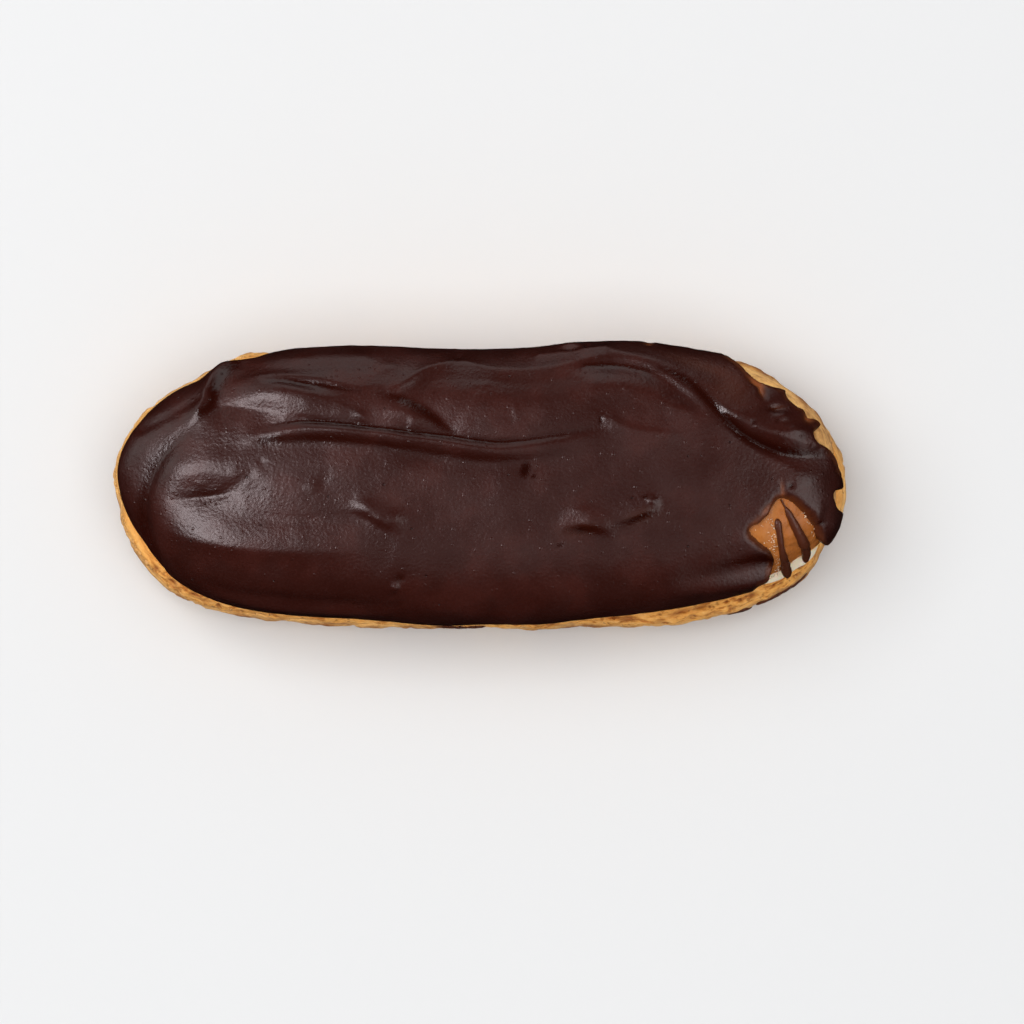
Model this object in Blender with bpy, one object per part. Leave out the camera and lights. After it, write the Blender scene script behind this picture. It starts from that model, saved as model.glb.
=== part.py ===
"""Chocolate eclair: a long choux bun cut in two, with cream in its hollow base and an iced lid.

Metres, +Z up. The origin is under the middle of the bun, on the surface it rests on. +X runs
along the bun towards the end where the icing has left a patch of lid bare.
Run it with blender --background --python part.py.
"""

import math
from dataclasses import dataclass

import bmesh
import bpy
from mathutils import Vector

MM = 0.001

# Driving sizes, in millimetres.
LENGTH = 140.6
WIDTH = 53.2
BASE_TOP = 16.1
CREAM_LAYER = 4.9
LID_HEIGHT = 16.4
ICING_THICKNESS = 1.9
FIT_GAP = 0.35
CRUST_WALL = 4.6
HOLLOW_FLOOR = 6.4

# How finely the skins are divided.
BUN_POINTS = 60
ICING_POINTS = 84
ICING_STEPS = 12

LID_BOTTOM = BASE_TOP + CREAM_LAYER
LID_TOP = LID_BOTTOM + LID_HEIGHT


@dataclass
class Lobe:
    """A place in plan where an outline swells (push above 0) or draws in, in millimetres."""

    x: float
    y: float
    spread: float
    push: float


@dataclass
class Outline:
    """A rounded oblong in plan: a superellipse with a few lobes, in millimetres."""

    half_length: float
    half_width: float
    squareness: float
    centre_y: float
    lobes: tuple


BASE_OUTLINE = Outline(
    half_length=LENGTH / 2,
    half_width=WIDTH / 2,
    squareness=2.77,
    centre_y=-1.0,
    lobes=(
        Lobe(0, 26, 26, -0.5),
        Lobe(-45.5, 24, 8.5, 2.7),
        Lobe(-66, 11, 6, -0.3),
        Lobe(-70, 1.5, 4, 0.4),
        Lobe(-70, -4, 2.5, -0.6),
        Lobe(-67, -12, 8, -1.2),
        Lobe(-59, -19, 9, 0.7),
        Lobe(-50, -24, 10, 1.1),
        Lobe(-33, -26, 9, 0.4),
        Lobe(33, -26, 10, 1.0),
        Lobe(50, -23, 14, 1.1),
        Lobe(58, -21, 6, -0.6),
        Lobe(67, -12, 8, -1.5),
        Lobe(70, 1, 5, 0.35),
        Lobe(66, 12, 9, -0.9),
        Lobe(50, 24, 9, 2.2),
    ),
)

LID_OUTLINE = Outline(
    half_length=LENGTH / 2 - 2.7,
    half_width=WIDTH / 2 - 1.7,
    squareness=2.7,
    centre_y=0.15,
    lobes=(
        Lobe(-36, 25, 12, 1.0),
        Lobe(-26, 26, 6, 0.25),
        Lobe(1, 26, 15, -1.0),
        Lobe(24, 26, 4, -0.3),
        Lobe(32, 26, 16, 1.8),
        Lobe(52, 22, 10, 1.9),
        Lobe(63, 13, 8, 0.8),
        Lobe(68, -8, 8, 0.9),
        Lobe(50, -19, 8, -0.3),
        Lobe(36, -23, 14, -0.8),
        Lobe(18, -26, 12, 0.4),
        Lobe(-6, -26, 10, 0.8),
        Lobe(-46, -22, 12, 1.0),
        Lobe(-57, -18, 7, 0.5),
        Lobe(-64, -12, 9, -1.3),
        Lobe(-69, 2.5, 6, 0.9),
        Lobe(-64, 11, 7, -0.7),
        Lobe(-57, 18, 8, -0.6),
    ),
)

# Above the rim the cream is squeezed out at one end, past the lid's edge.
CREAM_BULGES = (Lobe(64.8, -14.0, 6.0, 2.9), Lobe(57.8, -19.6, 3.2, 1.6))

# The lid's dome is highest at CREST_X and comes down towards both ends, by these shares of it.
CREST_X = -12.0
LEFT_DROOP, LEFT_DROOP_POWER = 0.46, 2.5
RIGHT_DROOP, RIGHT_DROOP_POWER = 0.22, 2.0

# The icing ends lower or higher on the lid's side: its edge height, and places where it differs.
ICING_EDGE_HEIGHT = 24.4
ICING_EDGE_LOBES = (
    Lobe(50, 24, 5, 3.0),
    Lobe(58, 18, 4, 5.0),
    Lobe(64, 12, 4, 8.0),
    Lobe(68, 5, 4, 4.0),
    Lobe(69, -3, 2.5, 4.0),
    Lobe(-50, 23, 8, 1.5),
    Lobe(-66, -12, 6, 1.0),
    Lobe(-8, -27, 6, -1.4),
    Lobe(20, 28, 5, -1.2),
)

# Folds that the spatula has left in the icing: smooth lines in plan, raised along their middle.
FOLD_HEIGHT = 0.9
FOLD_SPREAD = 3.0
FOLDS = (
    ((-49.0, 21.5), (-52.0, 17.0), (-57.0, 10.5), (-63.0, 3.5), (-66.0, -4.0)),
    ((-44.0, 9.5), (-30.0, 10.5), (-12.0, 9.0), (2.0, 6.5), (20.0, 9.0)),
    ((-17.0, 18.0), (-8.0, 23.0), (5.0, 21.5), (22.0, 24.0), (38.0, 21.0), (47.0, 14.0), (58.0, 8.5)),
)  # fmt: skip

# The patch that the icing has left bare, in plan, and the two drips that cross it.
BARE_PATCH = (
    (51.5, -9.1), (53.6, -7.4), (55.3, -5.7), (56.0, -4.2), (57.2, -2.8), (58.7, -3.0),
    (60.4, -3.9), (62.0, -5.2), (63.4, -7.2), (64.6, -8.8), (65.2, -11.2), (69.0, -16.0),
    (60.0, -27.0), (53.2, -20.6), (55.2, -18.0), (56.4, -15.0), (54.8, -12.7), (52.8, -11.0),
)  # fmt: skip
DRIPS = (
    ((56.3, -0.8), (56.7, -5.0), (57.1, -9.5), (57.7, -13.2), (58.5, -17.3)),
    ((57.2, -1.0), (58.6, -5.0), (60.2, -8.2), (61.8, -11.4), (62.2, -14.7)),
)
DRIP_HALF_WIDTHS = (0.8, 0.6, 0.7, 0.8, 1.3)
DRIP_DEPTH = 1.6
DRIP_SINK = 0.25
DRIP_SIDES = 8
DRIP_STATIONS = 9

# Each profile is (inset from the outline, height), in millimetres.
BASE_PROFILE = (
    (8.4, 0.0),
    (5.2, 0.6),
    (2.5, 2.8),
    (0.8, 6.0),
    (0.0, 10.2),
    (0.4, 13.4),
    (1.0, BASE_TOP - 0.5),
    (1.8, BASE_TOP),
    (CRUST_WALL - 0.9, BASE_TOP - 0.1),
    (CRUST_WALL + 0.5, BASE_TOP - 0.9),
    (CRUST_WALL + 1.8, 12.0),
    (CRUST_WALL + 3.4, 8.4),
    (CRUST_WALL + 6.4, HOLLOW_FLOOR + 0.3),
    (CRUST_WALL + 11.4, HOLLOW_FLOOR),
)
CREAM_PROFILE = (
    (CRUST_WALL + 11.6, HOLLOW_FLOOR + FIT_GAP + 0.05),
    (CRUST_WALL + 6.8, HOLLOW_FLOOR + FIT_GAP + 0.4),
    (CRUST_WALL + 3.9, 8.9),
    (CRUST_WALL + 2.3, 12.2),
    (CRUST_WALL + 1.2, BASE_TOP - 0.5),
    (CRUST_WALL + 0.4, BASE_TOP + 0.4),
    (CRUST_WALL - 0.3, BASE_TOP + 1.2),
    (CRUST_WALL - 0.7, BASE_TOP + 2.4),
    (CRUST_WALL - 0.2, BASE_TOP + 3.5),
    (CRUST_WALL + 1.0, BASE_TOP + 4.2),
    (CRUST_WALL + 4.4, BASE_TOP + 4.6),
    (15.0, BASE_TOP + 5.0),
)
LID_UNDERSIDE = (
    (14.0, LID_BOTTOM + 0.8),
    (6.0, LID_BOTTOM + 0.3),
    (2.0, LID_BOTTOM),
    (0.6, LID_BOTTOM + 0.3),
)
LID_DOME = (
    (0.0, LID_BOTTOM + 1.3),
    (0.1, LID_BOTTOM + 3.4),
    (0.6, LID_BOTTOM + 6.4),
    (1.9, LID_BOTTOM + 9.7),
    (4.1, LID_BOTTOM + 12.5),
    (7.2, LID_BOTTOM + 14.6),
    (11.4, LID_BOTTOM + 15.8),
    (16.5, LID_BOTTOM + 16.2),
    (22.6, LID_TOP),
)

COLOURS = {
    "crust": (0.56, 0.28, 0.09, 1.0),
    "cream": (0.93, 0.87, 0.74, 1.0),
    "chocolate": (0.035, 0.014, 0.010, 1.0),
}


def signed_power(value, exponent):
    return math.copysign(abs(value) ** exponent, value)


def lobe_sum(lobes, x, y):
    """What the lobes add up to at a place in plan."""
    total = 0.0
    for lobe in lobes:
        away = math.hypot(x - lobe.x, y - lobe.y) / lobe.spread
        total += lobe.push * math.exp(-away * away)
    return total


def plan_point(outline, turn, inset):
    """The point of an outline at a turn round it, drawn in by inset millimetres."""
    exponent = 2.0 / outline.squareness
    run, rise = math.cos(turn), math.sin(turn)
    x = (outline.half_length - inset) * signed_power(run, exponent)
    y = (outline.half_width - inset) * signed_power(rise, exponent)
    swell = lobe_sum(outline.lobes, x, y + outline.centre_y) * (1 - inset / outline.half_width)
    outward = Vector((x / outline.half_length**2, y / outline.half_width**2)).normalized()
    return Vector((x + outward.x * swell, y + outline.centre_y + outward.y * swell))


def even_turns(outline, count, probes=1440):
    """Turns that space count points evenly along the outline."""
    points = [plan_point(outline, math.tau * k / probes, 0.0) for k in range(probes + 1)]
    walked = [0.0]
    for before, after in zip(points, points[1:]):
        walked.append(walked[-1] + (after - before).length)
    turns = []
    step = 0
    for k in range(count):
        wanted = walked[-1] * k / count
        while walked[step + 1] < wanted:
            step += 1
        share = (wanted - walked[step]) / (walked[step + 1] - walked[step])
        turns.append(math.tau * (step + share) / probes)
    return turns


def seam_wave(x, y):
    """How far the cut through the bun, and what lies along it, rises or dips in millimetres."""
    along = 0.55 * math.sin(x / 19.0 + 0.6) + 0.25 * math.sin(x / 7.5 - y / 11.0)
    return along + 0.012 * (y + 4.0)


def smooth_step(low, high, value):
    share = min(1.0, max(0.0, (value - low) / (high - low)))
    return share * share * (3.0 - 2.0 * share)


def raised(x, y, height):
    """A point of the bun, in metres, with the wave of the cut worked into its height."""
    near_cut = smooth_step(4.0, BASE_TOP - 1.0, height)
    near_cut *= 1.0 - smooth_step(LID_BOTTOM + 2.0, LID_BOTTOM + 12.0, height)
    return Vector((x, y, height + near_cut * seam_wave(x, y))) * MM


def drooped(x, height):
    """A height on the lid, brought down towards the bun's ends."""
    left = max(0.0, (CREST_X - x) / (CREST_X + LID_OUTLINE.half_length))
    right = max(0.0, (x - CREST_X) / (LID_OUTLINE.half_length - CREST_X))
    share = LEFT_DROOP * left**LEFT_DROOP_POWER + RIGHT_DROOP * right**RIGHT_DROOP_POWER
    return LID_BOTTOM + (height - LID_BOTTOM) * (1.0 - share)


def base_ring(turns, inset, height):
    points = [plan_point(BASE_OUTLINE, turn, inset) for turn in turns]
    return [raised(point.x, point.y, height) for point in points]


def lid_ring(turns, inset, height):
    points = [plan_point(LID_OUTLINE, turn, inset) for turn in turns]
    return [raised(point.x, point.y, drooped(point.x, height)) for point in points]


def material(name, roughness):
    made = bpy.data.materials.new(name)
    made.use_nodes = True
    shader = made.node_tree.nodes["Principled BSDF"]
    shader.inputs["Base Color"].default_value = COLOURS[name]
    shader.inputs["Roughness"].default_value = roughness
    shader.inputs["Metallic"].default_value = 0.0
    return made


def loft(name, rings, finish=None):
    """An object whose skin runs from ring to ring, with the first and last ring closed."""
    bm = bmesh.new()
    rows = [[bm.verts.new(point) for point in points] for points in rings]
    count = len(rows[0])
    for lower, upper in zip(rows, rows[1:]):
        for k in range(count):
            after = (k + 1) % count
            bm.faces.new((lower[k], lower[after], upper[after], upper[k]))
    bm.faces.new(list(reversed(rows[0])))
    bm.faces.new(rows[-1])
    bmesh.ops.recalc_face_normals(bm, faces=bm.faces[:])
    bmesh.ops.triangulate(bm, faces=bm.faces[:])
    mesh = bpy.data.meshes.new(name)
    bm.to_mesh(mesh)
    bm.free()
    mesh.shade_smooth()
    made = bpy.data.objects.new(name, mesh)
    bpy.context.scene.collection.objects.link(made)
    if finish:
        mesh.materials.append(finish)
    return made


def choux_base(crust):
    turns = even_turns(BASE_OUTLINE, BUN_POINTS)
    rings = [base_ring(turns, inset, height) for inset, height in BASE_PROFILE]
    return loft("choux_base", rings, crust)


def cream_ring(turns, inset, height):
    """A ring of the cream, drawn in from the base's outline, less so where it bulges out."""
    above_rim = smooth_step(BASE_TOP, BASE_TOP + 1.2, height)
    points = []
    for turn in turns:
        edge = plan_point(BASE_OUTLINE, turn, 0.0)
        bulge = above_rim * lobe_sum(CREAM_BULGES, edge.x, edge.y)
        place = plan_point(BASE_OUTLINE, turn, inset - bulge)
        points.append(raised(place.x, place.y, height))
    return points


def cream_filling(cream):
    turns = even_turns(BASE_OUTLINE, BUN_POINTS)
    rings = [cream_ring(turns, inset, height) for inset, height in CREAM_PROFILE]
    return loft("cream_filling", rings, cream)


def choux_lid(crust):
    turns = even_turns(LID_OUTLINE, BUN_POINTS)
    profile = LID_UNDERSIDE + LID_DOME
    rings = [lid_ring(turns, inset, height) for inset, height in profile]
    return loft("choux_lid", rings, crust)


def catmull_rom(a, b, c, d, share):
    """A point between b and c on the smooth curve that also passes a and d."""
    a, b, c, d = (Vector(point) for point in (a, b, c, d))
    bend = (2 * a - 5 * b + 4 * c - d) * share**2 + (3 * b - a - 3 * c + d) * share**3
    return 0.5 * (2 * b + (c - a) * share + bend)


def smooth_line(corners, per_piece, closed=False):
    """Points on a smooth curve through the corners."""
    if closed:
        padded = (corners[-1], *corners, corners[0], corners[1])
    else:
        padded = (corners[0], *corners, corners[-1])
    line = []
    for a, b, c, d in zip(padded, padded[1:], padded[2:], padded[3:]):
        line += [catmull_rom(a, b, c, d, k / per_piece) for k in range(per_piece)]
    if not closed:
        line.append(Vector(corners[-1]))
    return line


class DomeProfile:
    """The lid's dome in section, measured along its length from the lower edge to the crown."""

    def __init__(self, corners, pieces=12):
        self.points = smooth_line(corners, pieces)
        self.walked = [0.0]
        for before, after in zip(self.points, self.points[1:]):
            self.walked.append(self.walked[-1] + (after - before).length)
        self.length = self.walked[-1]

    def at(self, distance, offset):
        """(inset, height) at a distance along the dome, offset outwards by some millimetres."""
        step = 0
        while step < len(self.walked) - 2 and self.walked[step + 1] < distance:
            step += 1
        before, after = self.points[step], self.points[step + 1]
        share = (distance - self.walked[step]) / (self.walked[step + 1] - self.walked[step])
        along = (after - before).normalized()
        place = before.lerp(after, share)
        return place.x - along.y * offset, place.y + along.x * offset

    def distance_of_height(self, height):
        step = 0
        while step < len(self.points) - 2 and self.points[step + 1].y < height:
            step += 1
        before, after = self.points[step], self.points[step + 1]
        share = (height - before.y) / (after.y - before.y)
        return self.walked[step] + share * (self.walked[step + 1] - self.walked[step])


def fold_relief(x, y, fold_lines):
    """How far the icing's folds stand out at a place in plan."""
    relief = 0.0
    for line in fold_lines:
        nearest = min(math.hypot(x - point.x, y - point.y) for point in line)
        relief += FOLD_HEIGHT * math.exp(-((nearest / FOLD_SPREAD) ** 2))
    return relief


def icing_ring(turns, dome, edge_distances, share, offset, fold_lines=()):
    """A ring on the lid's dome: share 0 at the icing's edge, 1 at the crown."""
    points = []
    for turn, edge in zip(turns, edge_distances):
        distance = edge + (dome.length - edge) * share
        _inset, dome_height = dome.at(distance, 0.0)
        inset, coat_height = dome.at(distance, offset)
        place = plan_point(LID_OUTLINE, turn, inset)
        height = drooped(place.x, dome_height) + coat_height - dome_height
        height += fold_relief(place.x, place.y, fold_lines) * smooth_step(0.0, 0.3, share)
        points.append(raised(place.x, place.y, height))
    return points


def icing_shell(turns, dome):
    """The icing as a coat over the dome, with its folds and a rounded lower edge."""
    edge_distances = []
    for turn in turns:
        place = plan_point(LID_OUTLINE, turn, 0.0)
        height = ICING_EDGE_HEIGHT + lobe_sum(ICING_EDGE_LOBES, place.x, place.y)
        edge_distances.append(dome.distance_of_height(height))
    outside = FIT_GAP + ICING_THICKNESS
    closer_at_edge = 1.15
    shares = [(k / ICING_STEPS) ** closer_at_edge for k in range(1, ICING_STEPS + 1)]
    fold_lines = [smooth_line(corners, 8) for corners in FOLDS]
    rings = []
    for share in reversed(shares):
        rings.append(icing_ring(turns, dome, edge_distances, share, outside, fold_lines))
    lip = ((0.03, 0.97), (0.0, 0.72), (0.0, 0.3))
    for share, height_share in lip:
        rings.append(icing_ring(turns, dome, edge_distances, share, outside * height_share))
    for share in (0.02, *shares):
        rings.append(icing_ring(turns, dome, edge_distances, share, FIT_GAP))
    return rings


def cutting_tool(name, rings):
    """A solid that only shapes the icing and is no part of the object."""
    tool = loft(name, rings)
    tool.hide_render = True
    tool.display_type = "WIRE"
    return tool


def patch_cutter():
    outline = smooth_line(BARE_PATCH, 2, closed=True)
    heights = (LID_BOTTOM - 4.0, LID_TOP + 8.0)
    rings = [[Vector((p.x, p.y, height)) * MM for p in outline] for height in heights]
    return cutting_tool("patch_cutter", rings)


def lid_point_below(x, y, dome):
    """The lid's surface at a place in plan. How far in it lies is found by halving."""
    low, high = 0.0, dome.length
    halvings = 30
    for _ in range(halvings):
        middle = (low + high) / 2
        inset, _height = dome.at(middle, 0.0)
        reach_x = abs(x) / (LID_OUTLINE.half_length - inset)
        reach_y = abs(y - LID_OUTLINE.centre_y) / (LID_OUTLINE.half_width - inset)
        power = LID_OUTLINE.squareness
        inside = reach_x**power + reach_y**power < 1.0
        low, high = (middle, high) if inside else (low, middle)
    _inset, height = dome.at(low, 0.0)
    return Vector((x, y, drooped(x, height)))


def drip_half_width(share):
    """Half the drip's width at a share of the way along it."""
    place = share * (len(DRIP_HALF_WIDTHS) - 1)
    low = min(int(place), len(DRIP_HALF_WIDTHS) - 2)
    return DRIP_HALF_WIDTHS[low] * (1 - place + low) + DRIP_HALF_WIDTHS[low + 1] * (place - low)


def drip_rings(corners, dome, probe=0.2):
    """Flat oval sections along one drip, lying on the lid's dome just clear of it."""
    line = smooth_line(corners, 4)
    last = DRIP_STATIONS - 1
    stations = [line[round(k * (len(line) - 1) / last)] for k in range(DRIP_STATIONS)]
    rings = []
    for k, place in enumerate(stations):
        along = (stations[min(last, k + 1)] - stations[max(0, k - 1)]).normalized() * probe
        ground = lid_point_below(place.x, place.y, dome)
        beside = lid_point_below(place.x + along.y, place.y - along.x, dome)
        ahead = lid_point_below(place.x + along.x, place.y + along.y, dome)
        across = (beside - ground).normalized()
        up = across.cross((ahead - ground).normalized()).normalized()
        centre = ground + up * (FIT_GAP + DRIP_DEPTH / 2 + DRIP_SINK)
        points = []
        for side in range(DRIP_SIDES):
            turn = math.tau * side / DRIP_SIDES
            sideways = across * (drip_half_width(k / last) * math.cos(turn))
            point = centre + sideways + up * (DRIP_DEPTH / 2 * math.sin(turn))
            points.append(raised(point.x, point.y, point.z))
        rings.append(points)
    return rings


def chocolate_icing(chocolate):
    dome = DomeProfile(LID_DOME)
    turns = even_turns(LID_OUTLINE, ICING_POINTS)
    icing = loft("chocolate_icing", icing_shell(turns, dome), chocolate)
    tools = [("bare_patch", patch_cutter(), "DIFFERENCE")]
    for number, corners in enumerate(DRIPS, start=1):
        drip = cutting_tool(f"drip_tool_{number}", drip_rings(corners, dome))
        tools.append((f"drip_{number}", drip, "UNION"))
    for name, tool, operation in tools:
        boolean = icing.modifiers.new(name, "BOOLEAN")
        boolean.operation = operation
        boolean.solver = "EXACT"
        boolean.object = tool
    return icing


def clear_scene():
    for old in list(bpy.data.objects):
        bpy.data.objects.remove(old)


def main():
    clear_scene()
    crust = material("crust", 0.7)
    choux_base(crust)
    cream_filling(material("cream", 0.45))
    choux_lid(crust)
    chocolate_icing(material("chocolate", 0.32))


main()
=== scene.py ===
"""Chocolate eclair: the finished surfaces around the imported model.

Shapes are worked out in millimetres and put into the mesh in metres. +X runs along the bun towards
the end where the icing has left a patch of lid bare, +Y across it, +Z up.
"""

import math
from dataclasses import dataclass

import bmesh
import bpy
import numpy as np
from bpy.props import FloatProperty, FloatVectorProperty, IntProperty, PointerProperty
from bpy.types import Operator, Panel, PropertyGroup
from mathutils import Euler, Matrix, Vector, noise


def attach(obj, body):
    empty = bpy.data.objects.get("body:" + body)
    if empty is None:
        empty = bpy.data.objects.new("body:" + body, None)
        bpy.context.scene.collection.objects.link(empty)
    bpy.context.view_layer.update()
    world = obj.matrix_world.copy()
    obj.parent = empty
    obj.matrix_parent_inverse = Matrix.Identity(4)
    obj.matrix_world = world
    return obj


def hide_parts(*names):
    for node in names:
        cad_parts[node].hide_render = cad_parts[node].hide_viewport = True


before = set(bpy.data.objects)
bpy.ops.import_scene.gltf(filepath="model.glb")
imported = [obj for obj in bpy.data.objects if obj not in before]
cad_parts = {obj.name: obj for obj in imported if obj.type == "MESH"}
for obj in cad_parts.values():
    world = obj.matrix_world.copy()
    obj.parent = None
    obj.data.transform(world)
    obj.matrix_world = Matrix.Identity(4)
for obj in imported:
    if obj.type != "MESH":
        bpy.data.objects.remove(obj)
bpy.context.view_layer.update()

bl_info = {
    "name": "Chocolate Eclair",
    "version": (1, 0, 0),
    "blender": (4, 5, 0),
    "location": "3D View > Sidebar > Eclair",
    "description": "Bakes, fills and ices a choux bun around its packed model",
    "category": "Add Mesh",
}

MM = 0.001


# ---------------------------------------------------------------------------------------------
# Sizes of the bun, in millimetres, as its solids have them


LENGTH = 140.6
WIDTH = 53.2
BASE_TOP = 16.1
LID_BOTTOM = BASE_TOP + 4.9
LID_TOP = LID_BOTTOM + 16.4
CRUST_WALL = 4.6
HOLLOW_FLOOR = 6.4
ICING_EDGE_HEIGHT = 24.4
ICING_TUCK = 0.9
CREST_X = -12.0
LEFT_DROOP = 0.46
RIGHT_DROOP = 0.22

# How many faces go round each skin and along its section, and between which heights the rows of
# the base's rim lie closer.
LID_FACES = (560, 96)
BASE_FACES = (800, 118)
CREAM_FACES = (420, 56)
FINE_RIM = (12.6, 16.6)

# How finely strips are made, how often the icing's edge is smoothed, how often a search for a
# place on the lid halves its range, and how near 0 or 1 a flat grid's sides are.
STRIP_SIDES = 20
DRIP_STATIONS = 72
SMEAR_STATIONS = 60
EDGE_SMOOTHINGS = 4
HALVINGS = 26
GRID_SIDE = 1e-6

# How wide the crust's lumps, blisters, cracks and fine grain are, and how far the bare patch's
# wrinkles stand out.
LUMP_SIZE = 15.0
BLISTER_SIZE = 4.2
CRACK_SPACING = 5.0
FINE_SIZE = 1.3
WRINKLE = 0.12

# The icing: how far inside its edge it has its full relief, how little of it may be left over a
# dent, how deep its underside sits in the crust, how much lower it lies where it has run thin, and
# how rough it is in the holes and creases where shade is painted into its colour.
SETTLED_DEPTH = 1.6
LEAST_COAT = 0.35
ICING_SEAT = 0.9
THIN_DROP = 0.9
CREASE_ROUGHNESS = 0.14

# How much the crust glows through the icing, from 0 to 1.
FRINGE_GLOW = 0.3
DRIP_GLOW = 0.22
SMEAR_GLOW = 0.3

# Crumbs along the rim and grains on the bare patch.
RIM_CRUMBS = 150
CRUMB_HEIGHTS = (13.4, 15.8)
GRAINS_PER_LINE = 42
GRAIN_SCATTER = 0.3
GRAIN_SIZES = (0.12, 0.38)


@dataclass
class Lobe:
    """A place in plan where something swells (push above 0) or draws in."""

    x: float
    y: float
    spread: float
    push: float


@dataclass
class Outline:
    """A rounded oblong in plan: a superellipse with a few lobes."""

    half_length: float
    half_width: float
    squareness: float
    centre_y: float
    lobes: tuple


BASE_OUTLINE = Outline(
    half_length=LENGTH / 2,
    half_width=WIDTH / 2,
    squareness=2.77,
    centre_y=-1.0,
    lobes=(
        Lobe(0, 26, 26, -0.5),
        Lobe(-44.5, 24, 8.5, 2.9),
        Lobe(-66, 11, 6, -0.3),
        Lobe(-70, 1.5, 4, 0.4),
        Lobe(-70, -4, 2.5, -0.6),
        Lobe(-67, -12, 8, -1.2),
        Lobe(-59, -19, 9, 0.7),
        Lobe(-50, -24, 10, 1.1),
        Lobe(-33, -26, 9, 0.4),
        Lobe(11, -27, 6, 0.5),
        Lobe(19, -27, 5, -0.5),
        Lobe(33, -26, 10, 1.0),
        Lobe(50, -23, 14, 1.1),
        Lobe(58, -21, 6, -0.35),
        Lobe(67, -12, 6, -2.0),
        Lobe(70, 1, 5, 0.35),
        Lobe(66, 12, 9, -0.9),
        Lobe(50, 24, 9, 2.2),
    ),
)

LID_OUTLINE = Outline(
    half_length=LENGTH / 2 - 2.7,
    half_width=WIDTH / 2 - 1.7,
    squareness=2.7,
    centre_y=0.15,
    lobes=(
        Lobe(-36, 25, 12, 1.0),
        Lobe(-26, 26, 6, 0.25),
        Lobe(1, 26, 15, -1.0),
        Lobe(24, 26, 4, -0.3),
        Lobe(32, 26, 16, 1.8),
        Lobe(52, 22, 10, 1.9),
        Lobe(63, 13, 8, 0.8),
        Lobe(68, -8, 8, 0.9),
        Lobe(50, -19, 8, -0.3),
        Lobe(60.5, -15.5, 3.5, -0.5),
        Lobe(36, -23, 14, -0.45),
        Lobe(11, -26, 7, 0.7),
        Lobe(-6, -26, 10, 0.8),
        Lobe(-46, -22, 12, 1.0),
        Lobe(-57, -18, 7, 0.5),
        Lobe(-64, -12, 9, -1.3),
        Lobe(-69, 2.5, 6, 0.9),
        Lobe(-64, 11, 7, -0.7),
        Lobe(-57, 18, 8, -0.6),
    ),
)

# Above the rim the cream is squeezed out at one end, past the lid's edge.
CREAM_BULGES = (Lobe(64.6, -14.0, 6.0, 3.1), Lobe(57.8, -19.6, 3.6, 2.1))

# Where the icing ends lower or higher than elsewhere on the lid's side.
ICING_EDGE_LOBES = (
    Lobe(-50, 23, 8, 1.5),
    Lobe(-66, -12, 6, 1.0),
    Lobe(-8, -27, 6, -1.4),
    Lobe(20, 28, 5, -1.2),
    Lobe(-30, 27, 7, 0.9),
    Lobe(26, -26, 8, 0.7),
    Lobe(-53.8, 20.0, 3.0, 2.2),
)

# Regions in plan that the icing has left bare: the patch, the rim by it and a notch.
BARE_PATCH = (
    (51.5, -9.1), (53.6, -7.4), (55.3, -5.7), (56.0, -4.2), (57.2, -2.8), (58.7, -3.0),
    (60.4, -3.9), (62.0, -5.2), (63.4, -7.2), (64.6, -8.8), (65.2, -11.2), (69.0, -16.0), (60.0, -27.0),
    (53.2, -20.6), (55.2, -18.0), (56.4, -15.0), (54.8, -12.7), (52.8, -11.0),
)  # fmt: skip
BARE_RIM = (
    (47.0, 25.6), (50.0, 22.8), (52.0, 20.8), (54.6, 19.3), (58.2, 18.1), (58.7, 16.9),
    (60.4, 15.1), (61.9, 14.2), (62.6, 13.0), (64.4, 12.3), (65.2, 11.0), (63.9, 9.8), (64.6, 8.2),
    (66.4, 7.1), (68.2, 4.9), (69.4, 2.2), (73.0, 1.0), (73.0, 15.0), (60.0, 26.0), (50.0, 29.0),
)  # fmt: skip
BARE_NOTCH = (
    (67.8, -1.8), (69.2, -1.2), (73.0, -0.6), (73.0, -5.6), (69.4, -5.2), (68.2, -4.2),
)  # fmt: skip

# Sections: (inset from the outline, height), in order along the skin.
BASE_SECTION = (
    (14.0, 0.0), (8.4, 0.0), (5.2, 0.6), (2.5, 2.8), (0.8, 6.0), (0.0, 10.2), (0.4, 13.4),
    (1.0, BASE_TOP - 0.5), (1.8, BASE_TOP), (CRUST_WALL - 0.9, BASE_TOP - 0.1),
    (CRUST_WALL + 0.5, BASE_TOP - 0.9), (CRUST_WALL + 1.8, 12.0), (CRUST_WALL + 3.4, 8.4),
    (CRUST_WALL + 6.4, HOLLOW_FLOOR + 0.3), (CRUST_WALL + 11.4, HOLLOW_FLOOR),
)  # fmt: skip
CREAM_SECTION = (
    (CRUST_WALL + 6.8, HOLLOW_FLOOR + 0.4), (CRUST_WALL + 2.3, 12.2),
    (CRUST_WALL + 0.4, BASE_TOP + 0.1), (CRUST_WALL - 0.3, BASE_TOP + 1.0),
    (CRUST_WALL - 0.7, BASE_TOP + 2.4), (CRUST_WALL - 0.2, BASE_TOP + 3.7),
    (CRUST_WALL + 1.1, BASE_TOP + 4.6), (8.5, BASE_TOP + 5.1), (15.0, BASE_TOP + 5.4),
)  # fmt: skip
LID_UNDERSIDE = (
    (14.0, LID_BOTTOM + 0.8), (6.0, LID_BOTTOM + 0.3), (2.0, LID_BOTTOM),
    (0.6, LID_BOTTOM + 0.3),
)  # fmt: skip
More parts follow.
